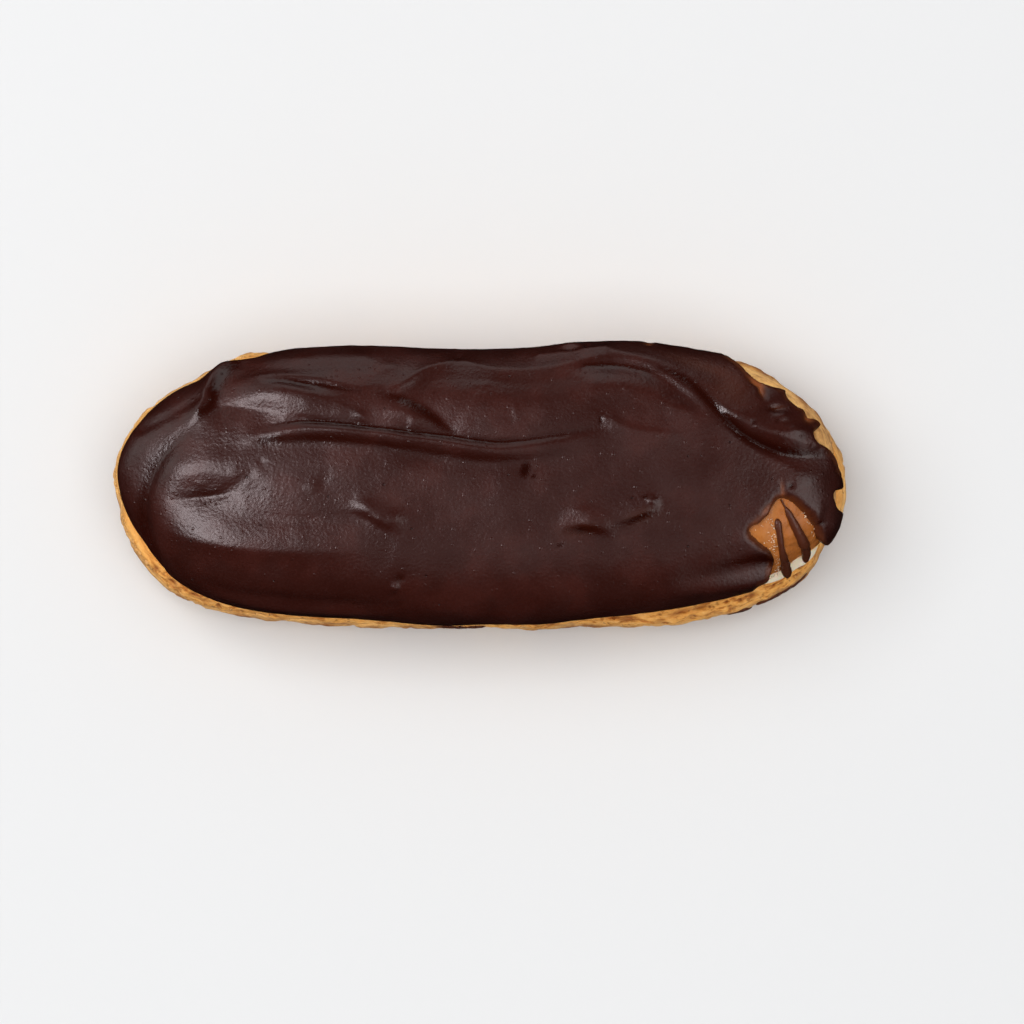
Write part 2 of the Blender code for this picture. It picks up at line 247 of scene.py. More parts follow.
LID_DOME = (
    (0.0, LID_BOTTOM + 1.3), (0.1, LID_BOTTOM + 3.4), (0.6, LID_BOTTOM + 6.4),
    (1.9, LID_BOTTOM + 9.7), (4.1, LID_BOTTOM + 12.5), (7.2, LID_BOTTOM + 14.6),
    (11.4, LID_BOTTOM + 15.8), (16.5, LID_BOTTOM + 16.2), (22.6, LID_TOP),
    (LID_OUTLINE.half_width, LID_TOP),
)  # fmt: skip

# Where a drip runs as it leaves the dome, on outwards from the lid's edge: (inset, height).
OFF_EDGE = (
    (-3.0, LID_BOTTOM - 1.0), (-1.2, LID_BOTTOM + 2.4), (0.0, LID_BOTTOM + 5.0), (1.2, LID_BOTTOM + 7.8),
)  # fmt: skip


# ---------------------------------------------------------------------------------------------
# The relief of the icing


@dataclass
class Stroke:
    """A ridge (height above 0) or groove left by the spatula, along a smooth line in plan.

    Heights and the reach to the left and right of the line are even along it, or a few values
    spread from its start to its end. A low sharpness gives a keen crest, 2 a round one.
    """

    line: tuple
    height: tuple
    left: tuple
    right: tuple
    sharpness: float = 2.0


@dataclass
class Dab:
    """A bump (height above 0) or dent: an oval in plan, turned by some degrees."""

    x: float
    y: float
    long: float
    short: float
    turn: float
    height: float


STROKES = (
    # The fold round the left end, which drops steeply on its inner side, and the hollow inside it.
    Stroke(
        ((-44.5, 23.9), (-47.2, 22.9), (-49.2, 21.6), (-50.7, 19.8), (-51.8, 17.6), (-52.8, 15.2),
         (-54.2, 13.2), (-56.4, 11.4)),
        (0.4, 1.1, 1.5, 1.6, 1.6, 1.3, 0.8, 0.2), (0.8, 0.9, 1.0, 1.2), (1.1, 1.7, 2.6, 3.2), 1.3,
    ),
    Stroke(
        ((-55.6, 10.4), (-58.8, 7.8), (-61.8, 4.2), (-63.8, 0.0), (-64.8, -4.5), (-64.2, -9.0),
         (-62.0, -13.4)),
        (-0.4, -1.2, -1.5, -1.5, -1.2, -0.4), (2.0,), (4.5,), 1.5,
    ),
    Stroke(((-65.0, 10.6), (-60.0, 13.0), (-56.0, 15.0), (-53.4, 16.2)), (-0.35,), (1.0,), (1.0,)),
    Stroke(((-54.0, 14.0), (-50.0, 14.8), (-46.0, 14.8), (-42.0, 14.2), (-37.0, 13.4)),
           (-0.1, -0.9, -1.1, -0.9, -0.2), (2.0,), (6.6,), 1.4),
    # The pillow inside it, with its dent and creases.
    Stroke(((-61.0, 1.8), (-56.0, 2.6), (-50.0, 3.0), (-42.0, 2.6)),
           (0.1, 0.5, 0.6, 0.5, 0.1), (3.2,), (2.6,), 2.6),
    Stroke(((-49.5, -2.2), (-47.5, -0.8), (-45.5, 0.6), (-43.5, 2.0)), (-0.12,), (1.0,), (1.0,)),
    Stroke(((-60.0, -8.6), (-56.0, -10.2), (-51.0, -11.2), (-46.0, -12.0), (-40.0, -12.6),
            (-32.0, -12.8), (-22.0, -12.8)),
           (0.1, 0.7, 1.1, 1.15, 0.95, 0.7, 0.45, 0.1), (4.4,), (2.2,), 1.6),
    Stroke(((-60.0, -3.0), (-56.0, -2.9), (-52.0, -2.5), (-48.0, -2.0), (-45.5, -1.4)),
           (-0.1, -0.6, -0.8, -0.5, -0.1), (1.4,), (3.2,), 1.2),
    Stroke(((-50.0, -4.6), (-45.0, -6.0), (-38.0, -6.9), (-30.0, -6.9), (-22.0, -6.2)),
           (-0.05, -0.2, -0.15), (1.4,), (1.4,)),
    Stroke(((-43.0, 9.6), (-42.4, 7.6), (-42.2, 5.6), (-41.8, 3.6)), (0.0, 0.2, 0.15, 0.0), (1.6,), (4.0,)),
    # The keen upper crest, the drop under it and the flat sheet below.
    Stroke(
        ((-46.0, 19.4), (-42.0, 20.2), (-38.0, 20.5), (-34.0, 20.3), (-30.0, 19.9), (-27.0, 19.2),
         (-24.0, 18.6), (-20.5, 18.5), (-18.5, 19.0)),
        (0.1, 0.4, 0.5, 0.4, 0.25, 0.2, 0.05), (0.9,), (0.5,), 1.2,
    ),
    Stroke(((-43.0, 18.9), (-38.0, 19.1), (-33.0, 18.9), (-29.0, 18.3), (-24.0, 17.6)),
           (-0.1, -0.35, -0.35, -0.2, -0.05), (0.7,), (1.1,)),
    Stroke(((-47.0, 18.4), (-42.0, 18.6), (-37.0, 18.0), (-33.0, 17.0), (-28.0, 15.6)),
           (0.1, 0.9, 1.2, 0.9, 0.2), (1.5,), (3.2,)),
    Stroke(((-41.0, 23.2), (-35.0, 23.6), (-28.0, 24.4), (-22.0, 24.4)), (0.2,), (1.0,), (1.4,)),
    Stroke(((-45.0, 22.4), (-37.0, 22.2), (-28.0, 22.6), (-21.0, 22.4)), (-0.2,), (0.9,), (1.0,)),
    # The long crease and the ridge under it, keen above and with a steep drop below.
    Stroke(
        ((-40.5, 11.0), (-36.0, 11.8), (-33.0, 12.0), (-29.0, 11.7), (-25.0, 11.3), (-20.0, 10.6),
         (-15.0, 10.1), (-10.0, 9.5), (-5.0, 8.9), (0.0, 8.2), (4.0, 7.9), (8.0, 8.2),
         (12.0, 8.8), (16.0, 9.4), (20.0, 10.1), (24.0, 10.9)),
        (-0.1, -0.7, -0.8, -0.7, -0.7, -0.6, -0.4, -0.1), (1.3, 1.2, 1.0, 0.8), (0.6,), 1.2,
    ),
    Stroke(
        ((-45.0, 8.9), (-42.0, 9.4), (-38.0, 9.9), (-34.0, 10.5), (-30.0, 10.5), (-25.0, 10.2),
         (-20.0, 9.8), (-17.0, 9.4), (-14.0, 8.8), (-10.0, 8.4), (-6.0, 7.8), (-2.0, 7.1),
         (1.0, 6.7), (4.0, 6.5), (8.0, 6.8), (12.0, 7.4), (16.0, 8.0), (20.0, 8.7), (23.0, 9.2)),
        (0.1, 0.6, 0.9, 0.9, 0.9, 0.9, 0.7, 0.4, 0.1), (1.0,), (1.5, 1.5, 1.5, 1.8, 2.0), 1.7,
    ),
    Stroke(((-42.0, 7.4), (-34.0, 7.6), (-24.0, 7.2), (-12.0, 5.6), (0.0, 3.9), (10.0, 4.2), (20.0, 5.6)),
           (-0.2, -0.35, -0.35, -0.25, -0.1), (1.2,), (2.6,)),
    # The middle sheet: its left and lower edges stand over the crease.
    Stroke(
        ((-17.0, 17.2), (-14.0, 16.6), (-11.2, 15.4), (-8.8, 13.8), (-7.0, 12.2), (-5.4, 10.6), (-3.4, 9.6)),
        (-0.2, -0.6, -0.8, -0.8, -0.6, -0.4, -0.1), (6.0,), (1.6,), 1.4,
    ),
    Stroke(((-18.0, 14.2), (-14.0, 13.6), (-11.0, 12.0), (-8.6, 10.4)), (0.1, 0.4, 0.4, 0.1), (1.6,), (1.6,)),
    Stroke(
        ((-17.2, 17.9), (-15.0, 18.9), (-13.0, 20.2), (-11.0, 21.5), (-8.0, 22.5), (-4.0, 23.0),
         (0.0, 22.3), (3.0, 21.7), (8.0, 21.6), (14.0, 22.2), (19.0, 23.4), (24.0, 24.2)),
        (0.4, 0.7, 0.5, 0.4, 0.45, 0.4), (1.4,), (0.9,), 1.3,
    ),
    Stroke(((-12.0, 19.2), (-6.0, 20.2), (2.0, 19.4), (10.0, 19.0), (17.0, 20.0)), (-0.25,), (1.2,), (2.4,)),
    Stroke(((11.0, 24.4), (15.0, 24.8), (20.0, 25.2), (24.0, 25.4)), (0.35,), (0.6,), (0.8,), 1.2),
    # The ridge that sweeps down to the right end, and the deep valley under it.
    Stroke(
        ((20.0, 25.1), (24.0, 25.4), (26.0, 24.9), (29.0, 24.2), (32.0, 23.5), (35.0, 22.8),
         (37.0, 21.9), (39.0, 21.0), (41.0, 19.8), (43.0, 18.0), (45.0, 16.0), (46.5, 14.6),
         (48.0, 13.1), (50.0, 11.8), (52.0, 10.9), (54.5, 9.9), (58.0, 8.8), (62.0, 7.6)),
        (0.4, 0.6, 0.6, 0.45, 0.5, 1.3, 1.5, 1.0), (1.2, 2.0, 4.0, 5.0), (0.7, 1.5, 1.5, 1.5), 1.3,
    ),
    Stroke(
        ((38.0, 20.4), (41.0, 18.4), (44.0, 15.4), (46.4, 12.9), (48.6, 10.8), (51.0, 9.0),
         (54.0, 7.4), (57.0, 6.2), (60.5, 5.4), (65.0, 5.2)),
        (-0.1, -0.25, -0.4, -1.0, -1.3, -1.1, -0.6), (1.7, 1.6, 1.4, 1.6), (1.2, 2.2, 3.4, 3.6), 1.3,
    ),
    Stroke(
        ((43.0, 12.8), (45.0, 11.6), (47.0, 10.2), (50.0, 8.0), (53.0, 6.2), (56.0, 4.8), (59.0, 3.6)),
        (0.1, 0.35, 0.35, 0.2), (0.6,), (1.6,), 1.3,
    ),
    Stroke(((20.0, 22.6), (24.0, 22.9), (28.0, 22.6), (32.0, 21.6), (35.5, 19.6), (38.5, 17.2), (41.5, 14.8)),
           (-0.5, -0.8, -0.8, -0.6, -0.5, -0.2), (1.0,), (1.8,)),
    Stroke(((22.0, 18.4), (27.0, 18.6), (31.0, 17.6), (35.0, 15.6), (39.0, 13.4)), (0.25,), (1.6,), (2.0,)),
    Stroke(((33.0, 21.4), (36.0, 20.4), (39.0, 18.6), (41.5, 16.6), (43.6, 14.2)),
           (0.1, 0.25, 0.25, 0.1), (0.6,), (0.7,), 1.4),
    # The fine ridge right of the centre, and the scratch above it.
    Stroke(((24.8, 12.5), (26.5, 11.5), (28.0, 10.8), (30.0, 10.3), (33.0, 9.8), (38.0, 9.4)),
           (0.5, 0.5, 0.4, 0.1), (0.7,), (2.2,), 1.3),
    Stroke(((20.3, 16.2), (22.5, 14.9), (24.2, 14.2)), (0.08,), (0.25,), (0.3,), 1.2),
    # Soft ridges and dents of the lower side.
    Stroke(((-25.0, -4.2), (-21.5, -5.4), (-18.8, -6.8), (-16.6, -8.4)),
           (0.1, 0.6, 0.9, 0.2), (3.0,), (1.2,)),
    Stroke(((-14.8, -8.4), (-15.3, -11.0), (-15.8, -13.8), (-16.4, -17.0)),
           (0.0, 0.12, 0.15, 0.05), (2.2,), (1.4,)),
    Stroke(((15.0, -7.8), (18.5, -7.4), (21.0, -7.4), (23.5, -8.0), (26.5, -9.2)),
           (0.0, 0.4, 0.8, 0.6, 0.0), (3.0,), (1.5,)),
    Stroke(((25.0, -7.6), (28.0, -6.4), (31.5, -5.0), (35.0, -4.4)), (0.0, 0.5, 0.7, 0.1), (2.6,), (1.4,)),
    Stroke(((38.0, -18.0), (45.0, -17.5), (50.0, -16.9), (55.0, -16.0)), (-0.1, -0.6, -1.2), (3.0,), (1.2,)),
    Stroke(((33.0, -21.2), (38.0, -20.6), (43.0, -20.0), (48.0, -19.3), (53.0, -18.4), (55.5, -18.0)),
           (0.2, 0.6, 0.9, 0.9), (1.6,), (1.4,)),
    Stroke(((-52.0, -19.2), (-45.0, -21.2), (-36.0, -22.2), (-26.0, -22.8), (-16.0, -23.4)),
           (-0.2, -0.4, -0.4, -0.2), (1.2,), (0.8,)),
    Stroke(((-50.0, -21.2), (-45.0, -22.7), (-38.0, -23.8), (-28.0, -24.4), (-18.0, -24.9)),
           (0.2, 0.5, 0.5, 0.2), (0.6,), (0.8,)),
)  # fmt: skip

DABS = (
    Dab(-16.2, -6.8, 2.0, 1.6, 0, 0.55),
    Dab(-21.5, -4.6, 2.2, 1.4, -30, 0.3),
    Dab(-38.0, -0.5, 5.0, 4.5, 0, 0.35),
    Dab(-22.6, 12.8, 1.7, 0.9, -30, 0.35),
    Dab(-12.8, 11.0, 1.5, 0.9, 85, 0.35),
    Dab(-41.6, 8.6, 1.0, 0.8, 0, -0.05),
    Dab(-41.6, 4.2, 0.8, 0.6, 0, -0.15),
    Dab(-31.8, -0.6, 1.4, 1.1, 0, 0.2),
    Dab(-29.6, 1.0, 1.8, 1.0, 60, -0.12),
    Dab(-41.8, 2.0, 1.0, 0.8, 0, 0.15),
    Dab(-53.2, 0.0, 1.0, 0.6, 0, 0.15),
    Dab(-16.2, -19.7, 0.75, 0.65, 30, 0.6),
    Dab(-15.0, -18.2, 1.0, 0.8, 0, -0.25),
    Dab(-16.6, -21.4, 1.2, 0.5, 15, -0.15),
    Dab(8.6, 2.6, 1.4, 0.95, 80, -0.06),
    Dab(10.2, 1.4, 0.4, 0.35, 0, -0.04),
    Dab(19.0, -5.2, 1.6, 0.9, 5, 0.22),
    Dab(15.2, -11.6, 0.8, 0.45, 10, -0.15),
    Dab(32.8, -3.2, 1.1, 0.8, -25, 0.6),
    Dab(36.0, 2.0, 3.5, 3.0, 20, 0.25),
    Dab(24.0, 12.6, 0.45, 0.4, 0, 0.15),
    Dab(25.2, 12.3, 0.35, 0.35, 0, 0.12),
    Dab(22.9, 12.0, 0.5, 0.9, 0, -0.12),
    Dab(0.5, 19.0, 2.2, 0.5, 0, 0.12),
    Dab(-4.0, 24.0, 1.0, 0.6, 30, -0.25),
    Dab(6.8, 14.0, 0.6, 2.0, 12, 0.18),
    Dab(7.8, 15.9, 0.35, 0.3, 0, 0.15),
    Dab(-17.6, 22.3, 2.2, 1.1, 5, 0.3),
    Dab(-6.0, 4.9, 0.5, 0.4, 0, 0.15),
    Dab(-17.5, 7.0, 1.6, 0.6, -20, -0.2),
    Dab(17.3, 26.3, 2.0, 0.5, 2, 0.6),
    Dab(17.2, 25.6, 1.4, 0.35, 2, -0.3),
    Dab(20.4, 26.3, 0.8, 0.5, -30, -0.4),
    Dab(37.2, 14.6, 2.4, 1.4, -25, 0.25),
    Dab(52.0, 11.4, 0.5, 0.35, 0, -0.25),
    Dab(49.5, 13.2, 3.0, 1.0, -20, 0.25),
    Dab(56.2, 14.2, 1.6, 0.8, 5, -0.6),
    Dab(57.6, 12.6, 1.3, 0.8, 0, 0.5),
    Dab(60.3, 9.9, 2.2, 0.9, -5, 0.6),
    Dab(56.4, 11.6, 0.35, 0.3, 0, -0.2),
    Dab(54.2, 17.4, 0.8, 1.6, 0, -0.3),
    Dab(57.0, 17.4, 1.2, 0.9, -20, 0.3),
    Dab(59.4, -0.4, 0.45, 0.4, 0, -0.45),
    Dab(65.2, -7.6, 0.8, 0.6, 30, -0.4),
    Dab(64.6, -5.2, 1.0, 1.6, -20, 0.35),
    Dab(67.6, -8.0, 0.8, 1.2, -20, 0.3),
    Dab(66.8, 4.4, 1.2, 2.2, 25, 0.25),
    Dab(62.0, 1.0, 3.0, 2.4, 0, 0.25),
)

# Places where the icing has run thin, so that the crust glows through it.
THIN_SPOTS = (
    Dab(53.7, 18.2, 0.5, 1.3, 12, 1.0),
    Dab(52.6, 19.6, 1.2, 0.6, -35, 0.8),
    Dab(54.6, -5.0, 1.1, 0.5, 55, 0.5),
    Dab(57.7, -1.2, 1.3, 0.3, 95, 0.6),
    Dab(52.4, -7.6, 1.4, 0.5, 60, 0.35),
    Dab(32.2, 26.8, 0.8, 0.4, 0, 0.6),
    Dab(56.6, 14.4, 1.1, 0.4, 0, 0.25),
    Dab(62.6, 12.4, 0.9, 0.8, 0, 0.8),
    Dab(48.0, 18.0, 4.0, 3.0, -30, 0.07),
    Dab(42.0, 22.6, 6.0, 1.2, -15, 0.08),
    Dab(18.6, -8.8, 3.0, 1.3, 5, 0.08),
    Dab(30.4, -6.2, 3.0, 1.2, 18, 0.08),
)

# Holes and creases with shade painted darker into the icing's colour, and more gloss: how much, 0 to 1.
PAINTED_SHADE_SPOTS = (
    Dab(8.6, 2.7, 1.5, 0.9, 75, 1.3),
    Dab(10.2, 1.4, 0.5, 0.45, 0, 0.9),
    Dab(-41.6, 8.4, 0.9, 0.7, 0, 0.5),
    Dab(-53.0, -1.7, 3.6, 0.8, 4, 0.5),
    Dab(15.2, -11.7, 0.8, 0.4, 10, 0.8),
    Dab(-15.4, -18.0, 0.9, 0.6, 0, 0.6),
    Dab(31.4, -2.5, 0.45, 0.35, 0, 0.9),
    Dab(22.9, 12.1, 0.4, 0.9, 0, 0.9),
    Dab(52.0, 11.4, 0.5, 0.35, 0, 0.9),
    Dab(56.2, 14.2, 1.4, 0.5, 5, 0.6),
    Dab(56.4, 11.6, 0.35, 0.3, 0, 0.9),
    Dab(59.4, -0.4, 0.45, 0.4, 0, 1.0),
    Dab(65.2, -7.6, 0.7, 0.5, 30, 0.8),
)
PAINTED_SHADE_LINES = (
    Stroke(((-40.0, 11.1), (-36.0, 11.7), (-31.0, 11.8), (-25.0, 11.2), (-18.0, 10.4), (-10.0, 9.5),
            (-4.0, 8.8), (2.0, 8.0), (8.0, 8.2), (14.0, 9.1), (21.0, 10.4)),
           (0.3, 1.0, 1.0, 0.9, 0.9, 0.9, 0.5, 0.2), (0.6,), (0.45,)),
    Stroke(((-41.5, 8.2), (-34.0, 8.7), (-26.0, 8.5), (-16.0, 7.2), (-8.0, 5.8), (0.0, 4.9),
            (8.0, 4.9), (16.0, 6.2)),
           (0.7, 0.7, 0.6, 0.5, 0.5, 0.4, 0.2), (0.9,), (1.2,)),
    Stroke(((-40.0, 19.4), (-36.0, 19.3), (-32.0, 19.0), (-28.0, 18.4), (-23.0, 17.6)),
           (0.4, 0.8, 0.8, 0.4), (0.5,), (0.6,)),
    Stroke(((-46.4, 22.8), (-49.0, 20.6), (-50.6, 17.8), (-51.4, 15.2), (-53.4, 13.4)),
           (0.7, 0.9, 0.9, 0.8), (1.1,), (0.7,)),
    Stroke(((-54.6, 11.6), (-57.4, 9.6), (-61.0, 6.4), (-64.0, 1.6), (-65.4, -4.0), (-64.8, -9.0),
            (-61.6, -14.0)),
           (0.2, 0.5, 0.6, 0.6, 0.6, 0.4), (1.2,), (1.4,)),
    Stroke(((-19.0, 17.2), (-15.0, 16.2), (-11.6, 14.6), (-9.0, 12.8), (-7.0, 11.0), (-5.0, 9.6)),
           (0.3, 0.8, 0.8, 0.8, 0.5), (0.9,), (1.3,)),
    Stroke(((20.0, 22.7), (24.0, 22.9), (28.0, 22.6), (32.0, 21.8)), (0.6, 0.8, 0.5), (0.6,), (0.7,)),
    Stroke(((34.0, 22.0), (38.0, 20.4), (41.0, 18.4), (44.0, 15.4), (46.4, 12.9), (48.6, 10.8),
            (51.0, 9.0), (54.0, 7.6), (57.0, 6.5), (60.5, 5.8), (65.0, 5.6)),
           (0.4, 0.8, 0.9, 1.0, 1.0, 1.0, 1.0, 0.5), (0.5, 0.9, 1.2, 1.2), (0.5, 1.1, 1.3, 0.9)),
    Stroke(((44.0, -15.6), (49.0, -15.3), (53.0, -14.8), (56.4, -15.4)), (0.2, 0.7, 1.0), (1.2,), (1.1,)),
    Stroke(((16.0, -8.8), (19.0, -8.6), (22.0, -8.8), (25.0, -9.8)), (0.4, 1.0, 0.7, 0.2), (0.9,), (1.2,)),
    Stroke(((26.2, -7.6), (29.0, -6.9), (32.0, -5.7), (34.0, -5.1)), (0.4, 1.0, 0.9, 0.2), (0.6,), (0.9,)),
)  # fmt: skip

# Two drips over the bare patch and a thread beside them: smooth lines of (x, y, half the width).
DRIPS = (
    ((56.6, -6.6, 0.45), (56.8, -7.6, 0.66), (57.0, -9.0, 0.66), (57.3, -10.9, 0.62), (57.6, -12.7, 0.66),
     (58.0, -14.2, 0.9), (58.4, -15.6, 1.25), (58.6, -16.9, 1.3), (58.5, -17.9, 1.05)),
    ((58.1, -4.3, 0.25), (58.6, -5.2, 0.5), (59.1, -6.2, 0.72), (60.0, -7.9, 0.9), (61.0, -9.8, 0.95),
     (61.9, -11.6, 1.15), (62.3, -13.1, 1.25), (62.2, -14.4, 1.0), (62.1, -15.0, 0.8)),
    ((57.3, -3.0, 0.16), (57.7, -3.7, 0.2), (58.3, -4.8, 0.2)),
)  # fmt: skip

# Icing that has run down on to the base: smooth lines of (x, y, height, half the width).
SMEARS = (
    ((47.8, -25.4, 12.0, 0.5), (50.0, -24.6, 11.6, 1.2), (51.6, -24.0, 11.4, 1.0)),
    ((53.0, -23.0, 11.8, 0.6), (55.5, -22.0, 11.2, 1.4), (58.0, -20.6, 11.0, 1.7), (60.5, -18.9, 11.2, 1.3),
     (62.8, -16.6, 11.8, 0.7)),
    ((-9.5, -27.4, 13.0, 0.4), (-6.5, -27.4, 12.4, 0.9), (-3.0, -27.5, 12.2, 1.1), (1.0, -27.5, 12.6, 0.4)),
)  # fmt: skip

# Crumbs that stick out from the rim: (x, y, height, size).
KNOBS = (
    (-69.0, -6.6, 14.8, 1.5), (-68.3, -7.6, 14.6, 1.0), (-68.2, -9.0, 14.6, 1.2),
    (-66.9, -11.2, 14.9, 1.3), (-66.3, -12.2, 14.9, 0.9), (-65.6, -13.4, 15.0, 1.5),
    (-64.4, -15.2, 15.2, 1.5), (-63.4, -16.4, 15.0, 1.2), (-53.9, 20.4, 15.0, 0.65),
    (-49.3, 22.9, 15.0, 0.75), (-45.5, 24.5, 15.0, 0.7), (58.6, 18.3, 15.2, 0.5),
    (62.8, 15.0, 15.2, 0.5), (67.8, 8.0, 15.2, 0.6), (69.6, -1.6, 15.0, 0.6),
    (-56.4, -21.4, 14.6, 0.6), (-51.6, -23.4, 15.0, 0.6),
)  # fmt: skip

# Where the base's rim is whole crust, and the pits that are open elsewhere along it, cut into it with shade
# painted into them.
SMOOTH_RIM = Lobe(-65.5, -11.5, 4.5, 1.0)
RIM_PITS = (
    Dab(-62.3, -16.2, 0.8, 0.5, -50, 0.8),
    Dab(-59.2, -18.8, 1.1, 0.6, -35, 0.9),
    Dab(-58.2, -20.1, 1.0, 0.4, -30, 0.6),
    Dab(-55.2, -21.2, 0.9, 0.5, -20, 0.8),
    Dab(-53.2, -22.3, 1.8, 0.4, -20, 0.5),
    Dab(-50.3, -23.5, 0.4, 0.5, 0, 1.0),
    Dab(-46.2, -24.5, 0.8, 0.35, -10, 0.8),
    Dab(-42.0, -25.2, 0.9, 0.25, -10, 0.5),
    Dab(-38.0, -25.9, 0.9, 0.25, -5, 0.5),
    Dab(-34.0, -26.2, 0.8, 0.25, -5, 0.5),
    Dab(26.0, -25.7, 1.6, 0.4, 2, 0.7),
    Dab(29.0, -26.3, 1.1, 0.35, 5, 0.6),
    Dab(34.5, -26.3, 1.0, 0.3, 10, 0.5),
    Dab(38.3, -24.7, 2.2, 0.4, 17, 0.7),
    Dab(40.5, -25.5, 0.8, 0.35, 15, 0.6),
    Dab(42.3, -23.7, 1.7, 0.4, 15, 0.7),
    Dab(44.1, -23.6, 0.3, 0.25, 0, 1.2),
    Dab(47.3, -22.6, 0.3, 0.25, 0, 1.2),
    Dab(48.0, -23.6, 0.35, 0.3, 0, 1.0),
    Dab(50.0, -22.3, 0.4, 0.35, 0, 1.3),
    Dab(52.1, -21.4, 1.0, 0.55, 20, 0.8),
    Dab(56.4, -19.5, 0.7, 0.3, 35, 0.8),
    Dab(57.7, -19.2, 0.5, 0.3, 40, 0.8),
    Dab(60.8, -17.6, 1.0, 0.3, 40, 0.6),
)

# Lines of pale sugary grains on the bare patch, where it glints: they also stand as painted glints.
GLINT_GRAIN_LINES = (
    ((52.6, -9.4), (54.2, -8.4), (55.4, -9.8), (56.2, -11.0), (56.5, -12.2)),
    ((55.0, -6.6), (56.2, -8.6), (56.4, -10.4)),
    ((54.0, -10.4), (55.4, -12.0), (56.8, -13.6), (56.9, -15.2), (56.4, -16.8), (55.6, -18.2)),
    ((57.0, -13.6), (56.9, -15.8), (57.1, -17.2)),
    ((61.4, -5.2), (63.0, -7.2), (64.2, -9.6)),
)  # fmt: skip


# ---------------------------------------------------------------------------------------------
# Geometry helpers. Arrays hold one row for each point, in millimetres.


def smooth_step(low, high, value):
    share = np.clip((value - low) / (high - low), 0.0, 1.0)
    return share * share * (3.0 - 2.0 * share)


def walked_by(steps):
    """How far each point of a line is along it, from the lengths of its steps."""
    return np.concatenate(([0.0], np.cumsum(steps)))


def unit(vectors):
    return vectors / np.linalg.norm(vectors, axis=1)[:, None]


def lobe_sum(lobes, x, y):
    """What the lobes add up to at places in plan."""
    total = np.zeros_like(x)
    for lobe in lobes:
        total += lobe.push * np.exp(-((x - lobe.x) ** 2 + (y - lobe.y) ** 2) / lobe.spread**2)
    return total


def plan_points(outline, run, rise, inset):
    """Points on an outline drawn in by inset. run and rise lie on the unit superellipse."""
    x = (outline.half_length - inset) * run
    y = (outline.half_width - inset) * rise
    swell = lobe_sum(outline.lobes, x, y + outline.centre_y) * (1 - inset / outline.half_width)
    out_x, out_y = x / outline.half_length**2, y / outline.half_width**2
    size = np.maximum(np.hypot(out_x, out_y), 1e-9)
    return x + out_x / size * swell, y + outline.centre_y + out_y / size * swell


def unit_superellipse(outline, turns):
    exponent = 2.0 / outline.squareness
    run = np.sign(np.cos(turns)) * np.abs(np.cos(turns)) ** exponent
    rise = np.sign(np.sin(turns)) * np.abs(np.sin(turns)) ** exponent
    return run, rise


def even_outline(outline, shares):
    """run and rise at shares of the way round the outline, measured along it."""
    fine = np.linspace(0.0, math.tau, 2881)
    run, rise = unit_superellipse(outline, fine)
    x, y = plan_points(outline, run, rise, np.zeros_like(run))
    walked = walked_by(np.hypot(np.diff(x), np.diff(y)))
    return unit_superellipse(outline, np.interp(shares * walked[-1], walked, fine))


def drooped(x, height):
    """A height on the lid, brought down towards the bun's ends."""
    left = np.clip((CREST_X - x) / (CREST_X + LID_OUTLINE.half_length), 0.0, 1.0)
    right = np.clip((x - CREST_X) / (LID_OUTLINE.half_length - CREST_X), 0.0, 1.0)
    share = LEFT_DROOP * left**2.5 + RIGHT_DROOP * right**2
    return LID_BOTTOM + (height - LID_BOTTOM) * (1 - share)


def raised(x, y, z):
    """Points of the bun, with the wave of the cut through it worked into their height."""
    wave = 0.55 * np.sin(x / 19.0 + 0.6) + 0.25 * np.sin(x / 7.5 - y / 11.0) + 0.012 * (y + 4.0)
    near = smooth_step(4.0, BASE_TOP - 1.0, z) * (1 - smooth_step(LID_BOTTOM + 2, LID_BOTTOM + 12, z))
    return np.column_stack((x, y, z + near * wave))


def smooth_line(corners, pieces=12, closed=False):
    """Points on a smooth curve through the corners."""
    corners = np.array(corners, float)
    if closed:
        padded = np.vstack((corners[-1:], corners, corners[:2]))
    else:
        padded = np.vstack((corners[:1], corners, corners[-1:]))
    share = np.linspace(0.0, 1.0, pieces, endpoint=False)[:, None]
    spans = []
    for a, b, c, d in zip(padded, padded[1:], padded[2:], padded[3:]):
        bend = (2 * a - 5 * b + 4 * c - d) * share**2 + (3 * b - a - 3 * c + d) * share**3
        spans.append(0.5 * (2 * b + (c - a) * share + bend))
    if not closed:
        spans.append(corners[-1:])
    return np.vstack(spans)


class Section:
    """A smooth line of (inset, height), measured along its length."""

    def __init__(self, corners):
        self.points = smooth_line(corners)
        self.walked = walked_by(np.hypot(*np.diff(self.points, axis=0).T))
        self.length = self.walked[-1]

    def at(self, distance):
        inset = np.interp(distance, self.walked, self.points[:, 0])
        return inset, np.interp(distance, self.walked, self.points[:, 1])

    def crowded(self, share, low, high, times=3.0):
        """Distances for shares of the way, times as close where the height is between two."""
        heights = (self.points[1:, 1] + self.points[:-1, 1]) / 2
        steps = np.diff(self.walked) * np.where((heights > low) & (heights < high), times, 1.0)
        weighed = walked_by(steps)
        return np.interp(share * weighed[-1], weighed, self.walked)

    def distance_of_height(self, height):
        """How far along the section a height is reached. Heights have to rise along it."""
        return np.interp(height, self.points[:, 1], self.walked)

    def flatness(self, distance):
        """The share of a step along the section that goes sideways: 1 where it lies flat."""
        sideways = np.abs(np.gradient(self.points[:, 0], self.walked))
        return np.interp(distance, self.walked, sideways)


